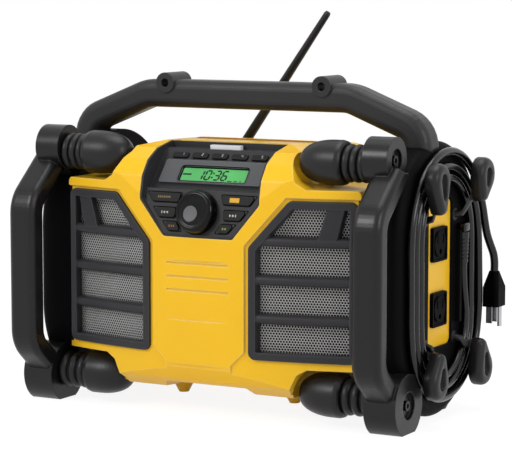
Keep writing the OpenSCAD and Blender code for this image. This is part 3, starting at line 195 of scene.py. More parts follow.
# ------------------------------------------------------------------ mains cord

# the middle of the right cap's outer face, and the depth of the cord's exit from it
CAP_X, CAP_Y, CAP_Z = 200.0, 105.0, 135.0
EXIT_Y = CAP_Y + 44
CORD_D = 8.0
CORD_X = CAP_X + CORD_D / 2 + 0.6
# the turns about the wrap: first radius, growth and points a turn, and half a straight stretch
COIL_R, COIL_PITCH, PER_TURN, STRAIGHT = 50, 10.5, 24, 40


def ramp(t):
    """0 before 0, 1 after 1, and 3 t squared less 2 t cubed between."""
    t = np.clip(t, 0, 1)
    return t * t * (3 - 2 * t)


def cord_route():
    """Three turns about the wrap: down the back, along the round bottom, up the front and over the
    round top. A straight stretch takes 3 points and a round one 9, which are 20 degrees apart. The
    radius grows by one pitch a turn, bulges out over one corner and leaves the turns at the end,
    where the plug hangs down."""
    k = np.arange(3, 73)
    p = k % PER_TURN
    bulge = np.where((k >= 44) & (k <= 56), np.sin(np.pi * (k - 44) / 12) ** 2, 0)
    r = COIL_R + COIL_PITCH * k / PER_TURN + 11 * bulge + 16 * ramp((k - 64) / 12)
    low, high = np.radians(20 * (p - 3)), np.radians(20 * (p - 15))
    y = np.select([p <= 3, p <= 12, p <= 15], [r, r * np.cos(low), -r], -r * np.cos(high))
    z = np.select([p <= 3, p <= 12, p <= 15],
                  [STRAIGHT * (1 - 2 * p / 3), -STRAIGHT - r * np.sin(low),
                   STRAIGHT * (2 * (p - 12) / 3 - 1)], STRAIGHT + r * np.sin(high))
    x = CORD_X + 10.4 * ramp((k - 70.3) / 5)
    turns = np.stack([x, CAP_Y + y, CAP_Z + z], -1)
    start = [[CORD_X, CAP_Y + a, CAP_Z + b]
             for a, b in ((44, 12), (44, 2), (46.2, -14), (49.2, -28))]
    end = [[210, 200.4, CAP_Z + 28], [213.8, 202.4, CAP_Z + 16], [215, 203, CAP_Z + 7],
           [215, 203, CAP_Z - 2]]
    return smooth_path(np.vstack([start, turns, end]), 3)


route = cord_route()
cord = new_mesh("mains_cord", *skin(along(route, circle(CORD_D / 2, 14), (1, 0, 0))))


def strain_relief():
    """A sleeve turned about the cord: its radius falls towards the tip and steps in at each of its
    eight flex cuts. A block clamps its wide end to the cap."""
    z = np.linspace(0, 30, 61)
    cut = ((z % 3.75) < 0.9) * (z < 26) * (z > 2)
    r = 4.75 + 1.1 * z / 30 - 0.55 * cut
    a = np.arange(20) * 2 * np.pi / 20
    rings = np.stack([CORD_X + r[:, None] * np.cos(a), EXIT_Y + r[:, None] * np.sin(a),
                      np.broadcast_to((CAP_Z + 12 + z)[:, None], (61, 20))], -1)
    rings[..., 0] = np.maximum(rings[..., 0], CAP_X + 0.05)
    block = rounded_box((CAP_X, CAP_X + 9.5), (EXIT_Y - 6, EXIT_Y + 6),
                        (CAP_Z + 42, CAP_Z + 51), 2.0)
    return joined([skin(rings), block])


relief = new_mesh("cord_strain_relief", *strain_relief())
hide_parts("strain_relief")
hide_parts("power_cord")


# ------------------------------------------------------------------ loudspeaker meshes

# the bow's foremost depth and its radius, and the extent of a grille frame
FACE_Y, BOW_R = -16.0, 520.0
GRILLE_X = (55.0, 159.0)
GRILLE_Z = (63.0, 215.0)
# the flat for the mesh, how far it lies behind the face, and its slanted upper inner corner
MESH_X = (GRILLE_X[0] + 5, GRILLE_X[1] - 1)
MESH_W, MESH_H = MESH_X[1] - MESH_X[0], GRILLE_Z[1] - GRILLE_Z[0] - 10
MESH_DEPTH, MESH_T = 9.3, 0.8
CORNER_W, CORNER_H = 40, 45
HOLE_PITCH = 2.85
HOLE_R = 1.17


def bow(x, depth=0.0):
    """Depth of the bowed face, or of a surface that much behind it, at a distance x from the
    middle."""
    r = BOW_R - depth
    return FACE_Y + BOW_R - np.sqrt(r * r - np.square(x))


def on_flat(u, v, w):
    """Points given along, up and behind the flat for the mesh, which is a chord of the bow."""
    y0, y1 = bow(MESH_X[0], MESH_DEPTH), bow(MESH_X[1], MESH_DEPTH)
    tilt = math.atan2(y1 - y0, MESH_W)
    return np.stack([MESH_X[0] + u * math.cos(tilt) - w * math.sin(tilt),
                     y0 + u * math.sin(tilt) + w * math.cos(tilt), GRILLE_Z[0] + 5 + v], -1)


def hole_centres():
    """Rows of holes, each row half a pitch off the last. They start 0.9 pitches along and 0.8 up,
    stay 1.5 mm off the far edges, and reach 1 mm past the slanted line that cuts off the corner."""
    row = HOLE_PITCH * math.sin(math.pi / 3)
    rows, cols = int(MESH_H / row) - 1, int(MESH_W / HOLE_PITCH) - 1
    j, i = np.meshgrid(np.arange(rows), np.arange(cols), indexing="ij")
    u = (HOLE_PITCH * (i + 0.9 + (j % 2) / 2)).ravel()
    v = (HOLE_PITCH * (0.8 + j * math.sin(math.pi / 3))).ravel()
    keep = ((u < MESH_W - 1.5) & (v < MESH_H - 1.5)
            & (u * CORNER_H - (v - MESH_H + CORNER_H) * CORNER_W > -60))
    return np.stack([u[keep], v[keep]], -1)


def perforated_sheet():
    """A honeycomb of cells on the flat behind the grille. Each cell is a hexagon with a round hole
    of twelve sides: its front and back are rings of quads and triangles, its hole a short wall."""
    centres = hole_centres()
    corner, round_a = np.radians(60 * np.arange(6) + 30), np.radians(30 * np.arange(12) + 30)
    hexagon = HOLE_PITCH / math.sqrt(3) * np.stack([np.cos(corner), np.sin(corner)], -1)
    hole = HOLE_R * np.stack([np.cos(round_a), np.sin(round_a)], -1)
    cell = np.vstack([hexagon, hole])
    flat = (centres[:, None] + cell).reshape(-1, 2)
    points = np.vstack([at_height(flat, 0), at_height(flat, MESH_T)])
    base, layer = len(cell) * np.arange(len(centres))[:, None, None], len(flat)
    quads = [[k, (k + 1) % 6, 6 + (2 * k + 2) % 12, 7 + 2 * k] for k in range(6)]
    tris = [[k, 7 + 2 * k, 6 + 2 * k] for k in range(6)]
    front = [f for p in (quads, tris) for f in (base + np.array(p)).reshape(-1, len(p[0])).tolist()]
    back = [[v + layer for v in f[::-1]] for f in front]
    a = 6 + np.arange(12)
    b = np.roll(a, -1)
    walls = (base + np.stack([a, b, b + layer, a + layer], -1)).reshape(-1, 4).tolist()
    # corners that neighbouring cells share, within 1/200 mm, become one
    key = np.round(points * 200).astype(np.int64)
    _, first, same = np.unique(key, axis=0, return_index=True, return_inverse=True)
    same = same.ravel().tolist()
    faces = [[same[v] for v in f] for f in front + back + walls]
    # the sheet's own rim stands on the edges that one front face uses and no hole
    used = dict.fromkeys(e for f in faces[:len(front)] for e in zip(f, f[1:] + f[:1]))
    hole_edges = {(f[1], f[0]) for f in faces[2 * len(front):]}
    rim = [(a, b) for a, b in used if (b, a) not in used and (a, b) not in hole_edges]
    behind = dict(zip(same[:layer], same[layer:]))
    faces += [[b, a, behind[a], behind[b]] for a, b in rim]
    return on_flat(*points[first].T), faces


def speaker_cloth():
    """The thin black cloth behind the sheet: the flat's five-sided outline, 0.3 mm thick."""
    near, far, top = 0.2, MESH_W - 0.2, MESH_H - 0.2
    u, v = np.array([[near, MESH_H - 42], [37.3, top], [far, top], [far, near], [near, near]]).T
    return skin([on_flat(u, v, w) for w in (0.86, 1.16)])


cloths = new_pair("speaker_cloth", speaker_cloth())
sheets = new_pair("perforated_sheet", perforated_sheet())
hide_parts("right_speaker_mesh")
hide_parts("left_speaker_mesh")


def end_strip():
    """The black strip that covers the housing's narrow end beside a grille frame. Its section has
    four corners: its face follows the bow and stands 0.3 mm proud of the sunk part of the face."""
    near, far, back = 158.8, 162.2, 2.2
    y0, y1 = bow(near, 1.9), bow(far, 1.9)
    section = np.array([(near, y0), (far, y1), (far, y1 + back), (near, y0 + back)])
    return skin([at_height(section, z) for z in (GRILLE_Z[0] - 2, GRILLE_Z[1] + 2)])


strips = new_pair("grille_end_strip", end_strip())


# ------------------------------------------------------------------ cord cleats

def petal(wide, r_wide, narrow, r_narrow, n=64):
    """Outline round two circles: in each direction, the point of whichever circle reaches further."""
    out = circle(1, n)
    wide, narrow = np.asarray(wide, float), np.asarray(narrow, float)
    far = (out @ wide + r_wide >= out @ narrow + r_narrow)[:, None]
    return np.where(far, wide + r_wide * out, narrow + r_narrow * out)


def cleat(w, top, n, low):
    """An ear and its stem, given along the depth, up and out of the cap. The ear's outline draws
    in by a quarter ellipse towards its top, which has a petal-shaped hollow with round edges. The
    ear's wide end is at w and top, its narrow end at n and low. The stem leans out to meet it."""
    shoulder, dome, draw = 19, 7, 5
    rings = [(12.1, 1.3), (12.6, 0.5), (13.6, 0.0)]
    rings += [(z, draw * (1 - math.sqrt(max(0.0, 1 - ((z - shoulder) / dome) ** 2))))
              for z in np.linspace(shoulder, shoulder + dome, 9)]
    rows = [at_height(petal((w, top), 17 - d, (n, low), 8 - d), z) for z, d in rings]
    hollow = [(26.0, 1.0), (25.8, 0.3), (25.0, 0.0), (21.2, -0.5), (20.2, -1.4), (20.0, -2.6)]
    rows += [at_height(petal((w, top + 1), 6.2 + d, (w - 2, low + 10), 3.8 + d), z)
             for z, d in hollow]
    stem = [at_height(centre + circle(r, 24), z) for centre, r, z in
            (((34, 60), 6, -3.9), ((34, 60), 6, 0.2), ((34, 60), 3.6, 0.3), ((35, 62), 3.4, 7.6),
             ((37, 66), 3.6, 9.8), ((n - 6, low - 3), 4.4, 12.6))]
    return joined([skin(rows), skin(stem)])


# by side in depth and height: the ear's wide end and its height, its narrow end and its height
CLEATS = {(-1, 1): (49.5, 99, 46, 75), (1, 1): (57.5, 97.5, 52, 79.5),
          (-1, -1): (49.5, 91, 46, 71), (1, -1): (57.5, 93, 52, 70.5)}


def four_cleats():
    """The cleat in each corner of the wrap; a copy that is mirrored once has its faces turned."""
    lots = []
    for (sy, sz), ends in CLEATS.items():
        points, faces = cleat(*ends)
        place = np.stack([CAP_X + points[:, 2], CAP_Y + sy * points[:, 0],
                          CAP_Z + sz * points[:, 1]], -1)
        lots.append((place, faces if sy * sz > 0 else [f[::-1] for f in faces]))
    return joined(lots)


cleats = new_mesh("moulded_cord_cleats", *four_cleats(), sharp=42.0)
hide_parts("cord_cleats")


# ------------------------------------------------------------------ display and key marks

KEY_FIELD, KEY_TILT = (-14.5, 176.0), math.radians(76.7)
LCD_FIELD, LCD_TILT = (0.0, 214.0), math.radians(50.0)


def on_field(points, field, tilt):
    """Points given across, up and proud of one of the panel's two leaning fields."""
    p = np.asarray(points, float)
    return np.stack([p[..., 0], field[0] + p[..., 1] * math.cos(tilt) - p[..., 2] * math.sin(tilt),
                     field[1] + p[..., 1] * math.sin(tilt) + p[..., 2] * math.cos(tilt)], -1)


def plate(outline, low, high):
    """A flat outline given a thickness."""
    return skin([at_height(outline, z) for z in (low, high)])


# the levels of key marks and of the display's digits above their field
MARK_LOW, MARK_UP = 1.74, 1.9
DIGIT_LOW, DIGIT_UP = 1.52, 1.7

SEGMENTS = {"a": ((0, 2), (1, 2)), "b": ((1, 2), (1, 1)), "c": ((1, 1), (1, 0)),
            "d": ((0, 0), (1, 0)), "e": ((0, 1), (0, 0)), "f": ((0, 2), (0, 1)),
            "g": ((0, 1), (1, 1))}
DIGITS = {"0": "abcdef", "1": "bc", "2": "abged", "3": "abcdg", "4": "fgbc", "5": "afgcd",
          "6": "acdefg"}
SEGMENT_GAP, COLON_ADVANCE, DIGIT_ADVANCE = 0.22, 2.4, 1.55


def lit_digits(text, x, s, wide, high, half, slant, low, up):
    """Seven-segment digits: each segment is a six-sided bar between two corners of its digit, and
    a colon is two small squares. high is half a digit's height, and half is half a bar's width."""
    bars = []
    for mark in text:
        if mark == ":":
            for t in (0.55 * high, 1.45 * high):
                square = half * np.array([[-1, -1], [1, -1], [1, 1], [-1, 1]])
                bars.append(plate(square + [x + slant * t, s + t], low, up))
            x += COLON_ADVANCE
            continue
        for name in DIGITS[mark]:
            p, q = [np.array([x + wide * c[0] + slant * high * c[1], s + high * c[1]])
                    for c in SEGMENTS[name]]
            d = (q - p) / np.linalg.norm(q - p)
            n = np.array([-d[1], d[0]])
            p, q = p + d * SEGMENT_GAP, q - d * SEGMENT_GAP
            bars.append(plate([p, p + (d - n) * half, q - (d + n) * half, q, q + (n - d) * half,
                               p + (d + n) * half], low, up))
        x += DIGIT_ADVANCE * wide
    return bars


def bar_mark(x, s, wide, high, low=MARK_LOW, up=MARK_UP):
    """A small oblong plate."""
    w, h = wide / 2, high / 2
    return plate(np.array([[-w, -h], [w, -h], [w, h], [-w, h]]) + [x, s], low, up)


def arrow_mark(x, s, way):
    """A small triangle that points left or right."""
    outline = np.array([[-1.1, -1.4], [1.3, 0], [-1.1, 1.4]]) * [way, 1]
    return plate((outline if way > 0 else outline[::-1]) + [x, s], MARK_LOW, MARK_UP)


LCD_X, LCD_S = 2.0, 24.6
LCD_W, LCD_H = 73.0, 16.6
segments = lit_digits("10:36", LCD_X - 18.2, LCD_S - 5.4, 5.2, 5.2, 0.86, 0.16,
                      DIGIT_LOW, DIGIT_UP)
segments += [bar_mark(x, s, w, h, DIGIT_LOW, DIGIT_UP) for x, s, w, h in
             ((-28, 24.6, 9.4, 1.7), (21, 18.4, 4.6, 0.9), (27.5, 18.4, 3.4, 0.9),
              (33, 18.4, 2.2, 0.9))]
points, faces = joined(segments)
digits = new_mesh("display_segments", on_field(points, LCD_FIELD, LCD_TILT), faces, smooth=False)


def rounded_outline(w, h, r, n=6):
    """An oblong with round corners, anticlockwise."""
    a = np.linspace(0, np.pi / 2, n)
    return np.vstack([np.stack([sx * (w / 2 - r) + r * np.cos(a + q),
                                sy * (h / 2 - r) + r * np.sin(a + q)], -1)
                      for q, (sx, sy) in zip(np.arange(4) * np.pi / 2, QUARTERS)])


def window_hoop(section):
    """A hoop round the display's window. Each corner of its section is given outwards from the
    window's edge and above the field."""
    rows = [at_height(rounded_outline(LCD_W + 2 * d, LCD_H + 2 * d, 2.2 + d) + [LCD_X, LCD_S], z)
            for d, z in section]
    points, faces = skin(rows, hoop=True)
    return on_field(points, LCD_FIELD, LCD_TILT), faces


# the sloped lip, whose section falls inwards, and the black seal 0.3 mm thick on its inner slope
rim = new_mesh("display_window_rim", *window_hoop(
    [(2.4, 2.9), (2.2, 3.3), (1.5, 3.5), (0.8, 3.35), (-0.5, 1.75), (-0.5, 1.55), (0.4, 1.6)]),
    sharp=50.0)
gasket = new_mesh("display_window_gasket", *window_hoop(
    [(1.3, 3.5), (1.15, 3.72), (0.8, 3.68), (-0.7, 1.95), (-0.9, 1.7), (-0.9, 1.56), (0.7, 3.3)]),
    sharp=50.0)

# the outlines of the left side keys, from the top row down; the right ones mirror them
KEY_OUTLINES = [[(-53, 33.5), (-25, 33.5), (-22.5, 42), (-59, 42)],
                [(-44, 18.5), (-27.5, 18.5), (-26.5, 27.5), (-51, 27.5)],
                [(-32, 5.9), (-19.5, 5.9), (-24.5, 14), (-39, 14)]]


def grown(outline, d):
    """A convex outline moved outwards by d: each corner goes along the sum of its two edges'
    normals, divided by one plus their product."""
    o = np.asarray(outline, float)
    edge = np.roll(o, -1, 0) - o
    edge /= np.linalg.norm(edge, axis=1)[:, None]
    out = np.stack([edge[:, 1], -edge[:, 0]], -1)
    before = np.roll(out, 1, 0)
    return o + d * (out + before) / (1 + (out * before).sum(1))[:, None]


def softened(outline, cut=2.6, n=5):
    """An outline whose corners are quadratic curves. Each runs from cut mm before its corner to cut
    mm after it, and the corner is its middle control point."""
    o = np.asarray(outline, float)
    back, on = np.roll(o, 1, 0) - o, np.roll(o, -1, 0) - o
    a = o + cut * back / np.linalg.norm(back, axis=1)[:, None]
    b = o + cut * on / np.linalg.norm(on, axis=1)[:, None]
    t = np.linspace(0, 1, n)[None, :, None]
    curves = (1 - t) ** 2 * a[:, None] + 2 * t * (1 - t) * o[:, None] + t * t * b[:, None]
    return curves.reshape(-1, 2)


def keypad_lips():
    """Painted shade of the gap round each side key: a low black hoop of four-cornered section."""
    lots = []
    for outline in KEY_OUTLINES:
        for side in (1, -1):
            o = np.array(outline, float) * [side, 1]
            o = o if side > 0 else o[::-1]
            rows = [at_height(softened(grown(o, d)), z)
                    for d, z in ((1.35, 0.02), (1.2, 0.32), (0.6, 0.3), (0.55, 0.02))]
            lots.append(skin(rows, hoop=True))
    points, faces = joined(lots)
    return on_field(points, KEY_FIELD, KEY_TILT), faces


# dark rings round the side keys: painted shade in the gaps round them
key_gap_shade = new_mesh("keypad_lips", *keypad_lips(), smooth=False)

KEY_MARKS = {
    "left_key_1": ("tan_mark", [bar_mark(x, 37.8, 1.3, 2.0) for x in
                                (-47, -44.9, -42.8, -40.7, -38.6, -36.5, -34.4)]),
    "right_key_1": ("amber_mark", [bar_mark(37, 37.8, 10.5, 4.6)]),
    "left_key_2": ("pale_mark", [bar_mark(-41.4, 23, 0.9, 2.8), arrow_mark(-38.8, 23, -1),
                                 arrow_mark(-35.6, 23, -1)]),
    "right_key_2": ("pale_mark", [arrow_mark(34.2, 23, 1), arrow_mark(37.4, 23, 1),
                                  bar_mark(40, 23, 0.9, 2.8)]),
    "left_key_3": ("orange_mark", [bar_mark(x, 10, 1.4, 2.2) for x in (-31.4, -28.9, -26.4)]),
    "right_key_3": ("green_mark", [bar_mark(x, 10, 1.7, 2.2) for x in (27.6, 30.4)]),
}
marks = []


def add_mark(key, plates, field, tilt, finish):
    """The mark on a key's cap, made of flat plates. It moves with the cap."""
    points, faces = joined(plates)
    piece = new_mesh(key + "_mark", on_field(points, field, tilt), faces, key + "_cap", False)
    marks.append((piece, finish))


for key, (finish, plates) in KEY_MARKS.items():
    add_mark(key, plates, KEY_FIELD, KEY_TILT, finish)
PRESET_PITCH, PRESET_S = 22, 46.8
for number in range(1, 6):
    plates = lit_digits(str(number), (number - 3) * PRESET_PITCH + 2.0, PRESET_S, 1.6, 1.35,
                        0.32, 0.0, MARK_LOW, MARK_UP)
    add_mark("preset_key_%d" % number, plates, LCD_FIELD, LCD_TILT, "pale_mark")


# the knob's axis, its thumb dimple and the dimple's sphere: radius, and height of its centre
KNOB_X, KNOB_S = -2.0, 24.5
PAD_X, PAD_S = -4.6, 21.9
SPHERE_R, SPHERE_Z = 21.0, 30.5


def knob():
    """The knob as a turned form: rings of a profile, from the shaft's end up over the skirt and the
    round shoulder to the face. The face is lowered to the thumb dimple's sphere where that is
    deeper."""
    profile = [(2.9, -8.8), (2.95, 0.7), (19, 0.7), (21.2, 0.62), (21.45, 0.9), (21.45, 3.2),
               (21.1, 3.9), (20.7, 6.2), (20.2, 8.4), (19.6, 9.7), (18.7, 10.8), (17.6, 11.4),
               (16.6, 11.55), (15.8, 11.35), (15.2, 11.0), (14.6, 10.92)]
    profile += [(r, 10.9) for r in np.arange(14, 0.3, -0.7)]
    r, z = np.array(profile).T
    a = np.arange(112) * 2 * np.pi / 112
    x, y = KNOB_X + r[:, None] * np.cos(a), KNOB_S + r[:, None] * np.sin(a)
    z = np.broadcast_to(z[:, None], x.shape)
    away = (x - PAD_X) ** 2 + (y - PAD_S) ** 2
    bowl = SPHERE_Z - np.sqrt(np.maximum(SPHERE_R ** 2 - away, 0))
    face = (z > 10) & (r[:, None] < 16)
    points, faces = skin(np.stack([x, y, np.where(face, np.minimum(z, bowl), z)], -1))
    return on_field(points, KEY_FIELD, KEY_TILT), faces


def thumb_pad():
    """Painted reflection: a grey matt layer in the knob's thumb dimple, where light is reflected. It
    is rings just proud of the dimple's sphere, and the same rings about 0.4 mm deeper."""
    out = np.linspace(0.2, 7.5, 10)
    rows = [(r, SPHERE_Z - math.sqrt(SPHERE_R ** 2 - r * r) - 0.35) for r in out]
    rows += [(r, SPHERE_Z - math.sqrt(SPHERE_R ** 2 - r * r) + 0.08) for r in out[::-1]]
    points, faces = skin([at_height(circle(r, 40) + [PAD_X, PAD_S], z) for r, z in rows])
    return on_field(points, KEY_FIELD, KEY_TILT), faces


dial = new_mesh("tuning_dial", *knob(), "dial", sharp=50.0)
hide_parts("tuning_knob")
# the grey in the knob's dimple is a painted reflection
dimple_reflection_layer = new_mesh("knob_dimple_reflection", *thumb_pad(), "dial")


# ------------------------------------------------------------------ materials

def linear(code):
    """An sRGB hex value as linear red, green and blue, with a full alpha."""
    c = np.array([int(code[i:i + 2], 16) for i in (1, 3, 5)]) / 255.0
    c = np.where(c <= 0.04045, c / 12.92, ((c + 0.055) / 1.055) ** 2.4)
    return tuple(c.tolist()) + (1.0,)


def add(tree, kind, inputs=(), **settings):
    """Adds a shader node with its settings. Each input takes a value or another node's output."""
    node = tree.nodes.new("ShaderNode" + kind)
    for name, value in settings.items():
        setattr(node, name, value)
    for name, value in dict(inputs).items():
        if isinstance(value, bpy.types.NodeSocket):
            tree.links.new(value, node.inputs[name])
        else:
            node.inputs[name].default_value = value
    return node


def new_material(name):
    """A node material that holds only its output and a Principled shader."""
    material = bpy.data.materials.new(name)
    material.use_nodes = True
    tree = material.node_tree
    tree.nodes.clear()
    shader = add(tree, "BsdfPrincipled")
    out = add(tree, "OutputMaterial")
    tree.links.new(shader.outputs[0], out.inputs["Surface"])
    return material, tree, shader


def mm(size):
    """The scale, in repeats a metre, that gives a pattern this many millimetres wide."""
    return 1000.0 / size


def moulded(name, colour, drift, rough, grain, depth, edge=None, edge_mm=0.9, gloss=0.3,
            coat=0.0):
    """Moulded plastic or rubber: spark-eroded grain as fine bump, slow drift of colour, and softened
    edges with a painted highlight that turns them towards the paler edge colour. Grain, depth and
    edge_mm are in millimetres."""
    material, tree, shader = new_material(name)
    place = add(tree, "TexCoord").outputs["Object"]
    slow = add(tree, "TexNoise", {"Vector": place, "Scale": mm(70), "Detail": 2.0})
    tint = add(tree, "Mix", {"Factor": slow.outputs["Fac"], 6: linear(colour), 7: linear(drift)},
               data_type="RGBA")
    fine = add(tree, "TexVoronoi", {"Vector": place, "Scale": mm(grain)}, feature="SMOOTH_F1")
    cloud = add(tree, "TexNoise", {"Vector": place, "Scale": mm(grain * 2.5), "Detail": 4.0})
    height = add(tree, "Math", {0: fine.outputs["Distance"], 1: cloud.outputs["Fac"]},
                 operation="ADD")
    soft = add(tree, "Bevel", {"Radius": edge_mm * 0.001}, samples=4)
    bump = add(tree, "Bump", {"Height": height.outputs[0], "Normal": soft.outputs[0],
                              "Strength": 1.0, "Distance": depth * 0.001})
    smear = add(tree, "TexNoise", {"Vector": place, "Scale": mm(22), "Detail": 5.0,
                                   "Roughness": 0.6})
    haze = add(tree, "MapRange", {"Value": smear.outputs["Fac"], "From Min": 0.3, "From Max": 0.7,
                                  "To Min": rough - 0.04, "To Max": rough + 0.05})
    colour_out = tint.outputs[2]
    # painted highlight: where the softened normal turns from the face's own normal, the colour goes
    # towards the paler edge colour
    if edge:
        facing = add(tree, "NewGeometry").outputs["Normal"]
        turn = add(tree, "VectorMath", {0: soft.outputs[0], 1: facing}, operation="DOT_PRODUCT")
        edge_highlight = add(tree, "MapRange", {"Value": turn.outputs["Value"], "From Min": 0.99,
                                      "From Max": 0.8, "To Min": 0.0, "To Max": 0.55})
        colour_out = add(tree, "Mix", {"Factor": edge_highlight.outputs[0], 6: colour_out, 7: linear(edge)},
                         data_type="RGBA").outputs[2]
    tree.links.new(colour_out, shader.inputs["Base Color"])
    tree.links.new(haze.outputs[0], shader.inputs["Roughness"])
    tree.links.new(bump.outputs[0], shader.inputs["Normal"])
    shader.inputs["IOR"].default_value = 1.48
    shader.inputs["Specular IOR Level"].default_value = gloss
    shader.inputs["Coat Weight"].default_value = coat
    shader.inputs["Coat Roughness"].default_value = 0.08
    return material


def metal(name, colour, rough, grit, stretch=(1, 1, 1), metallic=1.0):
    """Bare or blackened steel: fine drawn lines vary the roughness and the height."""
    material, tree, shader = new_material(name)
    place = add(tree, "TexCoord").outputs["Object"]
    lay = add(tree, "Mapping", {"Vector": place, "Scale": stretch})
    lines = add(tree, "TexNoise", {"Vector": lay.outputs[0], "Scale": mm(grit), "Detail": 3.0})
    gloss = add(tree, "MapRange", {"Value": lines.outputs["Fac"], "To Min": rough - 0.1,
                                   "To Max": rough + 0.12})
    soft = add(tree, "Bevel", {"Radius": 0.0004}, samples=4)
    bump = add(tree, "Bump", {"Height": lines.outputs["Fac"], "Normal": soft.outputs[0],
                              "Strength": 0.6, "Distance": 0.00004})
    shader.inputs["Base Color"].default_value = linear(colour)
    shader.inputs["Metallic"].default_value = metallic
    tree.links.new(gloss.outputs[0], shader.inputs["Roughness"])
    tree.links.new(bump.outputs[0], shader.inputs["Normal"])
    return material


def backlit_display():
    """A green backlight behind an LCD glass: it glows a little more in the middle, under gloss."""
    material, tree, shader = new_material("backlit_lcd_glass")
    place = add(tree, "TexCoord").outputs["Object"]
    glow = add(tree, "TexNoise", {"Vector": place, "Scale": mm(34), "Detail": 1.0})
    tint = add(tree, "Mix", {"Factor": glow.outputs["Fac"], 6: linear("#3a8f49"),
                             7: linear("#4fa95c")}, data_type="RGBA")
    tree.links.new(tint.outputs[2], shader.inputs["Base Color"])
    tree.links.new(tint.outputs[2], shader.inputs["Emission Color"])
    shader.inputs["Emission Strength"].default_value = 0.22
    shader.inputs["Roughness"].default_value = 0.12
    return material


def solder_mask():
    """Green circuit board: traces are a fine brick pattern that shows through the mask."""
    material, tree, shader = new_material("solder_mask_green")
    place = add(tree, "TexCoord").outputs["Object"]
    lay = add(tree, "Mapping", {"Vector": place, "Rotation": (math.pi / 2, 0, 0)})
    trace = add(tree, "TexBrick", {"Vector": lay.outputs[0], "Scale": mm(9), "Mortar Size": 0.03,
                                   "Color1": linear("#1d5a2c"), "Color2": linear("#17502a"),
                                   "Mortar": linear("#3f8a52")})
    tree.links.new(trace.outputs["Color"], shader.inputs["Base Color"])
    shader.inputs["Roughness"].default_value = 0.3
    return material


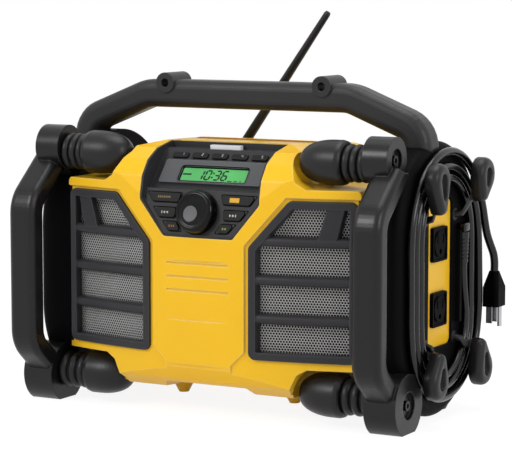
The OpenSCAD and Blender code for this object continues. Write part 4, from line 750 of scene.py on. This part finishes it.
# the seventh value of each moulded finish, where given, is the colour of its painted edge highlight
FINISH = {
    # satin ABS, spark-eroded: an even, slightly warm yellow with a soft pale sheen
    "yellow": moulded("satin_yellow_abs", "#e3af14", "#e8b71d", 0.34, 0.9, 0.015, "#fff0a6", 1.8,
                      0.26),
    # glass-filled nylon with a fine leather grain: black, with long soft highlights
    "black": moulded("grained_black_nylon", "#0e0e0f", "#141415", 0.3, 1.1, 0.025, "#2e2e2f", 1.8,
                     0.3),
    # the caps' sides have a deeper, duller grain; their darker copy of the black nylon is painted
    # shade, for sides that face away from the light, and keeps them darker than the guards
    "cap": moulded("dull_black_nylon", "#09090a", "#0e0e0f", 0.5, 1.2, 0.04, "#1c1c1d", 1.4, 0.03),
    # soft-touch rubber of the bumpers, feet, cleats and antenna: satin, deep black
    "rubber": moulded("soft_touch_black_rubber", "#131314", "#18181a", 0.36, 0.8, 0.025, "#2a2a2b",
                      1.8, 0.3),
    # the handle's rubber is a paler copy of the bumpers' rubber: a painted sheen, for the light on
    # its top
    "grip": moulded("paler_lit_handle_rubber", "#1e1e1f", "#262627", 0.4, 0.8, 0.03, "#444446", 1.6,
                    0.3),
    # the seal between the housings is painted the dark ochre of a shaded seam in the yellow: painted
    # shade
    "seal": moulded("seam_shade_ochre_rubber", "#a8741a", "#b07c20", 0.6, 0.8, 0.01, None, 0.3, 0.1),
    # the panel round the keys: dark grey ABS
    "panel": moulded("dark_grey_abs", "#28282a", "#303032", 0.42, 0.7, 0.02, "#4a4a4e", 0.8, 0.2),
    "grille": moulded("charcoal_grained_nylon", "#29292b", "#303033", 0.4, 1.0, 0.03, "#5c5c61",
                      1.8, 0.2),
    "bezel": moulded("mid_grey_abs", "#48494b", "#525356", 0.38, 0.7, 0.015, "#97989a", 0.9, 0.25),
    # black seal round the display window; the rings round the side keys wear it too, as painted shade
    # in their gaps
    "gasket": moulded("black_window_seal", "#060607", "#090909", 0.5, 0.8, 0.005, None, 0.3, 0.08),
    "key": moulded("key_black_silicone", "#131313", "#191918", 0.45, 0.6, 0.015, "#48484a", 0.7,
                   0.16),
    "white_key": moulded("key_white_polycarbonate", "#cfced2", "#dcdade", 0.3, 0.8, 0.01,
                         "#eeeef0"),
    # polished ABS with a clear gloss
    "knob": moulded("polished_black_abs", "#040405", "#070707", 0.16, 2.0, 0.003, "#141415", 0.9,
                    0.16, coat=0.05),
    # painted reflection: the grey lining of the knob's dimple stands in for the light reflected there
    "dimple_reflection_layer": moulded("knob_dimple_reflection_grey", "#5c5c5e", "#68686a", 0.6, 0.6, 0.02, "#7a7a7c", 0.5,
                   0.2),
    "outlet": moulded("outlet_black_nylon", "#030305", "#050507", 0.4, 0.8, 0.015, "#1a1a20", 0.6,
                      0.02),
    "cord": moulded("cord_black_pvc", "#040405", "#070708", 0.2, 1.6, 0.008, None, 0.5, 0.42),
    # powder coat: pale webs between dark holes
    "mesh": metal("powder_coated_steel_sheet", "#b4b4b2", 0.45, 0.5, metallic=0.15),
    "cloth": moulded("black_acoustic_cloth", "#070707", "#0c0c0c", 0.9, 0.5, 0.06, None, 0.3, 0.04),
    "steel": metal("zinc_plated_steel", "#b9babd", 0.3, 0.4, (1, 6, 1)),
    "bolt": metal("black_oxide_steel", "#2e2f31", 0.35, 0.3),
    "basket": metal("stamped_black_steel", "#2a2b2d", 0.4, 0.6, metallic=0.6),
    "ferrite": moulded("sintered_ferrite", "#3a3b3d", "#434446", 0.6, 0.5, 0.03, "#56575a"),
    "paper": moulded("pressed_paper_cone", "#1c1c1c", "#262626", 0.8, 0.7, 0.08, None),
    "iron": moulded("lacquered_iron_core", "#4b4c4e", "#57585a", 0.35, 1.2, 0.02, "#6f7072"),
    "board": solder_mask(),
    "lcd": backlit_display(),
    "segment": moulded("lcd_dark_segment", "#0b2a12", "#0f3216", 0.3, 1.0, 0.004, None),
    # silk-screened inks on the keys
    "tan_mark": moulded("key_ink_tan", "#7d6540", "#8a724a", 0.6, 0.5, 0.005, None),
    "amber_mark": moulded("key_ink_amber", "#c4932a", "#d2a232", 0.55, 0.5, 0.005, None),
    "pale_mark": moulded("key_ink_pale", "#b9b4ab", "#c8c3ba", 0.6, 0.5, 0.005, None),
    "orange_mark": moulded("key_ink_orange", "#84583a", "#926545", 0.6, 0.5, 0.005, None),
    "green_mark": moulded("key_ink_green", "#76783f", "#84864a", 0.6, 0.5, 0.005, None),
}


def both(name):
    """A node's name on the left and on the right."""
    return ["left_" + name, "right_" + name]


NODE_FINISH = {
    "yellow": ["front_housing", "rear_housing", "outlet_panel"],
    "black": both("guard") + ["battery_door", "storage_cover", "cord_cleats", "antenna_base",
                              "battery_terminals"],
    "cap": both("end_cap"),
    "rubber": ["rear_feet", "antenna"] + [level + bumper for level in ("upper_", "lower_")
                                          for bumper in both("bumper")],
    "grip": ["handle"],
    "seal": ["housing_seal"],
    "panel": ["control_panel"],
    "grille": both("grille_frame"),
    "bezel": ["display_bezel"],
    "lcd": ["display"],
    "white_key": ["light_key"],
    "key": [key for n in (1, 2, 3) for key in both("key_%d" % n)]
    + ["preset_key_%d" % n for n in range(1, 6)] + ["battery_door_latch"],
    "knob": ["tuning_knob"],
    "mesh": both("speaker_mesh"),
    "paper": both("speaker_cone"),
    "basket": both("speaker_basket"),
    "ferrite": both("speaker_magnet"),
    "board": ["circuit_boards", "mains_board"],
    "iron": ["transformer"],
    "steel": ["encoder", "hinge_pins", "antenna_pin", "plug_prongs"],
    "bolt": ["guard_bolts"],
    "outlet": ["upper_outlet", "lower_outlet", "plug_body"],
    "cord": ["power_cord", "strain_relief"],
}
PIECE_FINISH = {
    "cord": [cord, relief],
    "mesh": sheets,
    "segment": [digits],
    "cloth": cloths,
    "rubber": [cleats],
    "cap": strips,
    "bezel": [rim],
    "gasket": [gasket, key_gap_shade],
    "knob": [dial],
    "dimple_reflection_layer": [dimple_reflection_layer],
}


def wear(piece, finish):
    """Gives a piece or a CAD node its one finish."""
    piece.data.materials.clear()
    piece.data.materials.append(FINISH[finish])


for finish, nodes in NODE_FINISH.items():
    for node in nodes:
        wear(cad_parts[node], finish)
for finish, pieces in PIECE_FINISH.items():
    for piece in pieces:
        wear(piece, finish)
for piece, finish in marks:
    wear(piece, finish)


# ------------------------------------------------------------------ studio

# the point that the lamps look at
LIT = (0, 60, 180)


def seen_directly(tree):
    """1 for rays from the camera, in gloss or through glass, and 0 for the light itself."""
    path = add(tree, "LightPath").outputs
    first = add(tree, "Math", {0: path["Is Camera Ray"], 1: path["Is Glossy Ray"]},
                operation="MAXIMUM")
    return add(tree, "Math", {0: first.outputs[0], 1: path["Is Transmission Ray"]},
               operation="MAXIMUM").outputs[0]


def add_world(light):
    """A white room: its light is set by one level, and what is seen of it is plain white."""
    world = bpy.data.worlds.new("white_room")
    bpy.context.scene.world = world
    world.use_nodes = True
    tree = world.node_tree
    tree.nodes.clear()
    lit = add(tree, "Background", {"Color": linear("#ffffff"), "Strength": light})
    seen = add(tree, "Background", {"Color": linear("#ffffff"), "Strength": 1.0})
    mix = add(tree, "MixShader", {0: seen_directly(tree), 1: lit.outputs[0], 2: seen.outputs[0]})
    out = add(tree, "OutputWorld")
    tree.links.new(mix.outputs[0], out.inputs["Surface"])


def add_floor():
    """A matt white sheet under the radio that keeps a pale shadow."""
    half = 4.0
    mesh = bpy.data.meshes.new("floor")
    mesh.from_pydata([(-half, -half, 0), (half, -half, 0), (half, half, 0), (-half, half, 0)], [],
                     [(0, 1, 2, 3)])
    floor = bpy.data.objects.new("floor", mesh)
    bpy.context.scene.collection.objects.link(floor)
    material, tree, shader = new_material("matt_white_paper")
    shader.inputs["Base Color"].default_value = linear("#f4f4f4")
    shader.inputs["Roughness"].default_value = 0.9
    white = add(tree, "Emission", {"Color": linear("#ffffff"), "Strength": 1.12})
    share = add(tree, "Math", {0: seen_directly(tree), 1: 0.8}, operation="MULTIPLY")
    mix = add(tree, "MixShader", {0: share.outputs[0], 1: shader.outputs[0], 2: white.outputs[0]})
    out = next(n for n in tree.nodes if n.type == "OUTPUT_MATERIAL")
    tree.links.new(mix.outputs[0], out.inputs["Surface"])
    mesh.materials.append(material)


def add_lamp(name, place, size, power):
    """A square soft box at a place in working millimetres. Its size is in metres."""
    data = bpy.data.lights.new(name, "AREA")
    data.shape = "SQUARE"
    data.size = size
    data.energy = power
    lamp = bpy.data.objects.new(name, data)
    lamp.location = metres(place)
    lamp.rotation_mode = "QUATERNION"
    lamp.rotation_quaternion = Vector(metres(LIT) - metres(place)).to_track_quat("-Z", "Y")
    bpy.context.scene.collection.objects.link(lamp)


add_world(0.5)
add_floor()
add_lamp("key_soft_box", (-1150, -2150, 1750), 0.9, 36)
add_lamp("side_soft_box", (2300, -600, 1200), 1.0, 19)
add_lamp("top_soft_box", (150, 250, 2400), 1.4, 24)

bpy.context.scene.view_settings.view_transform = "Standard"
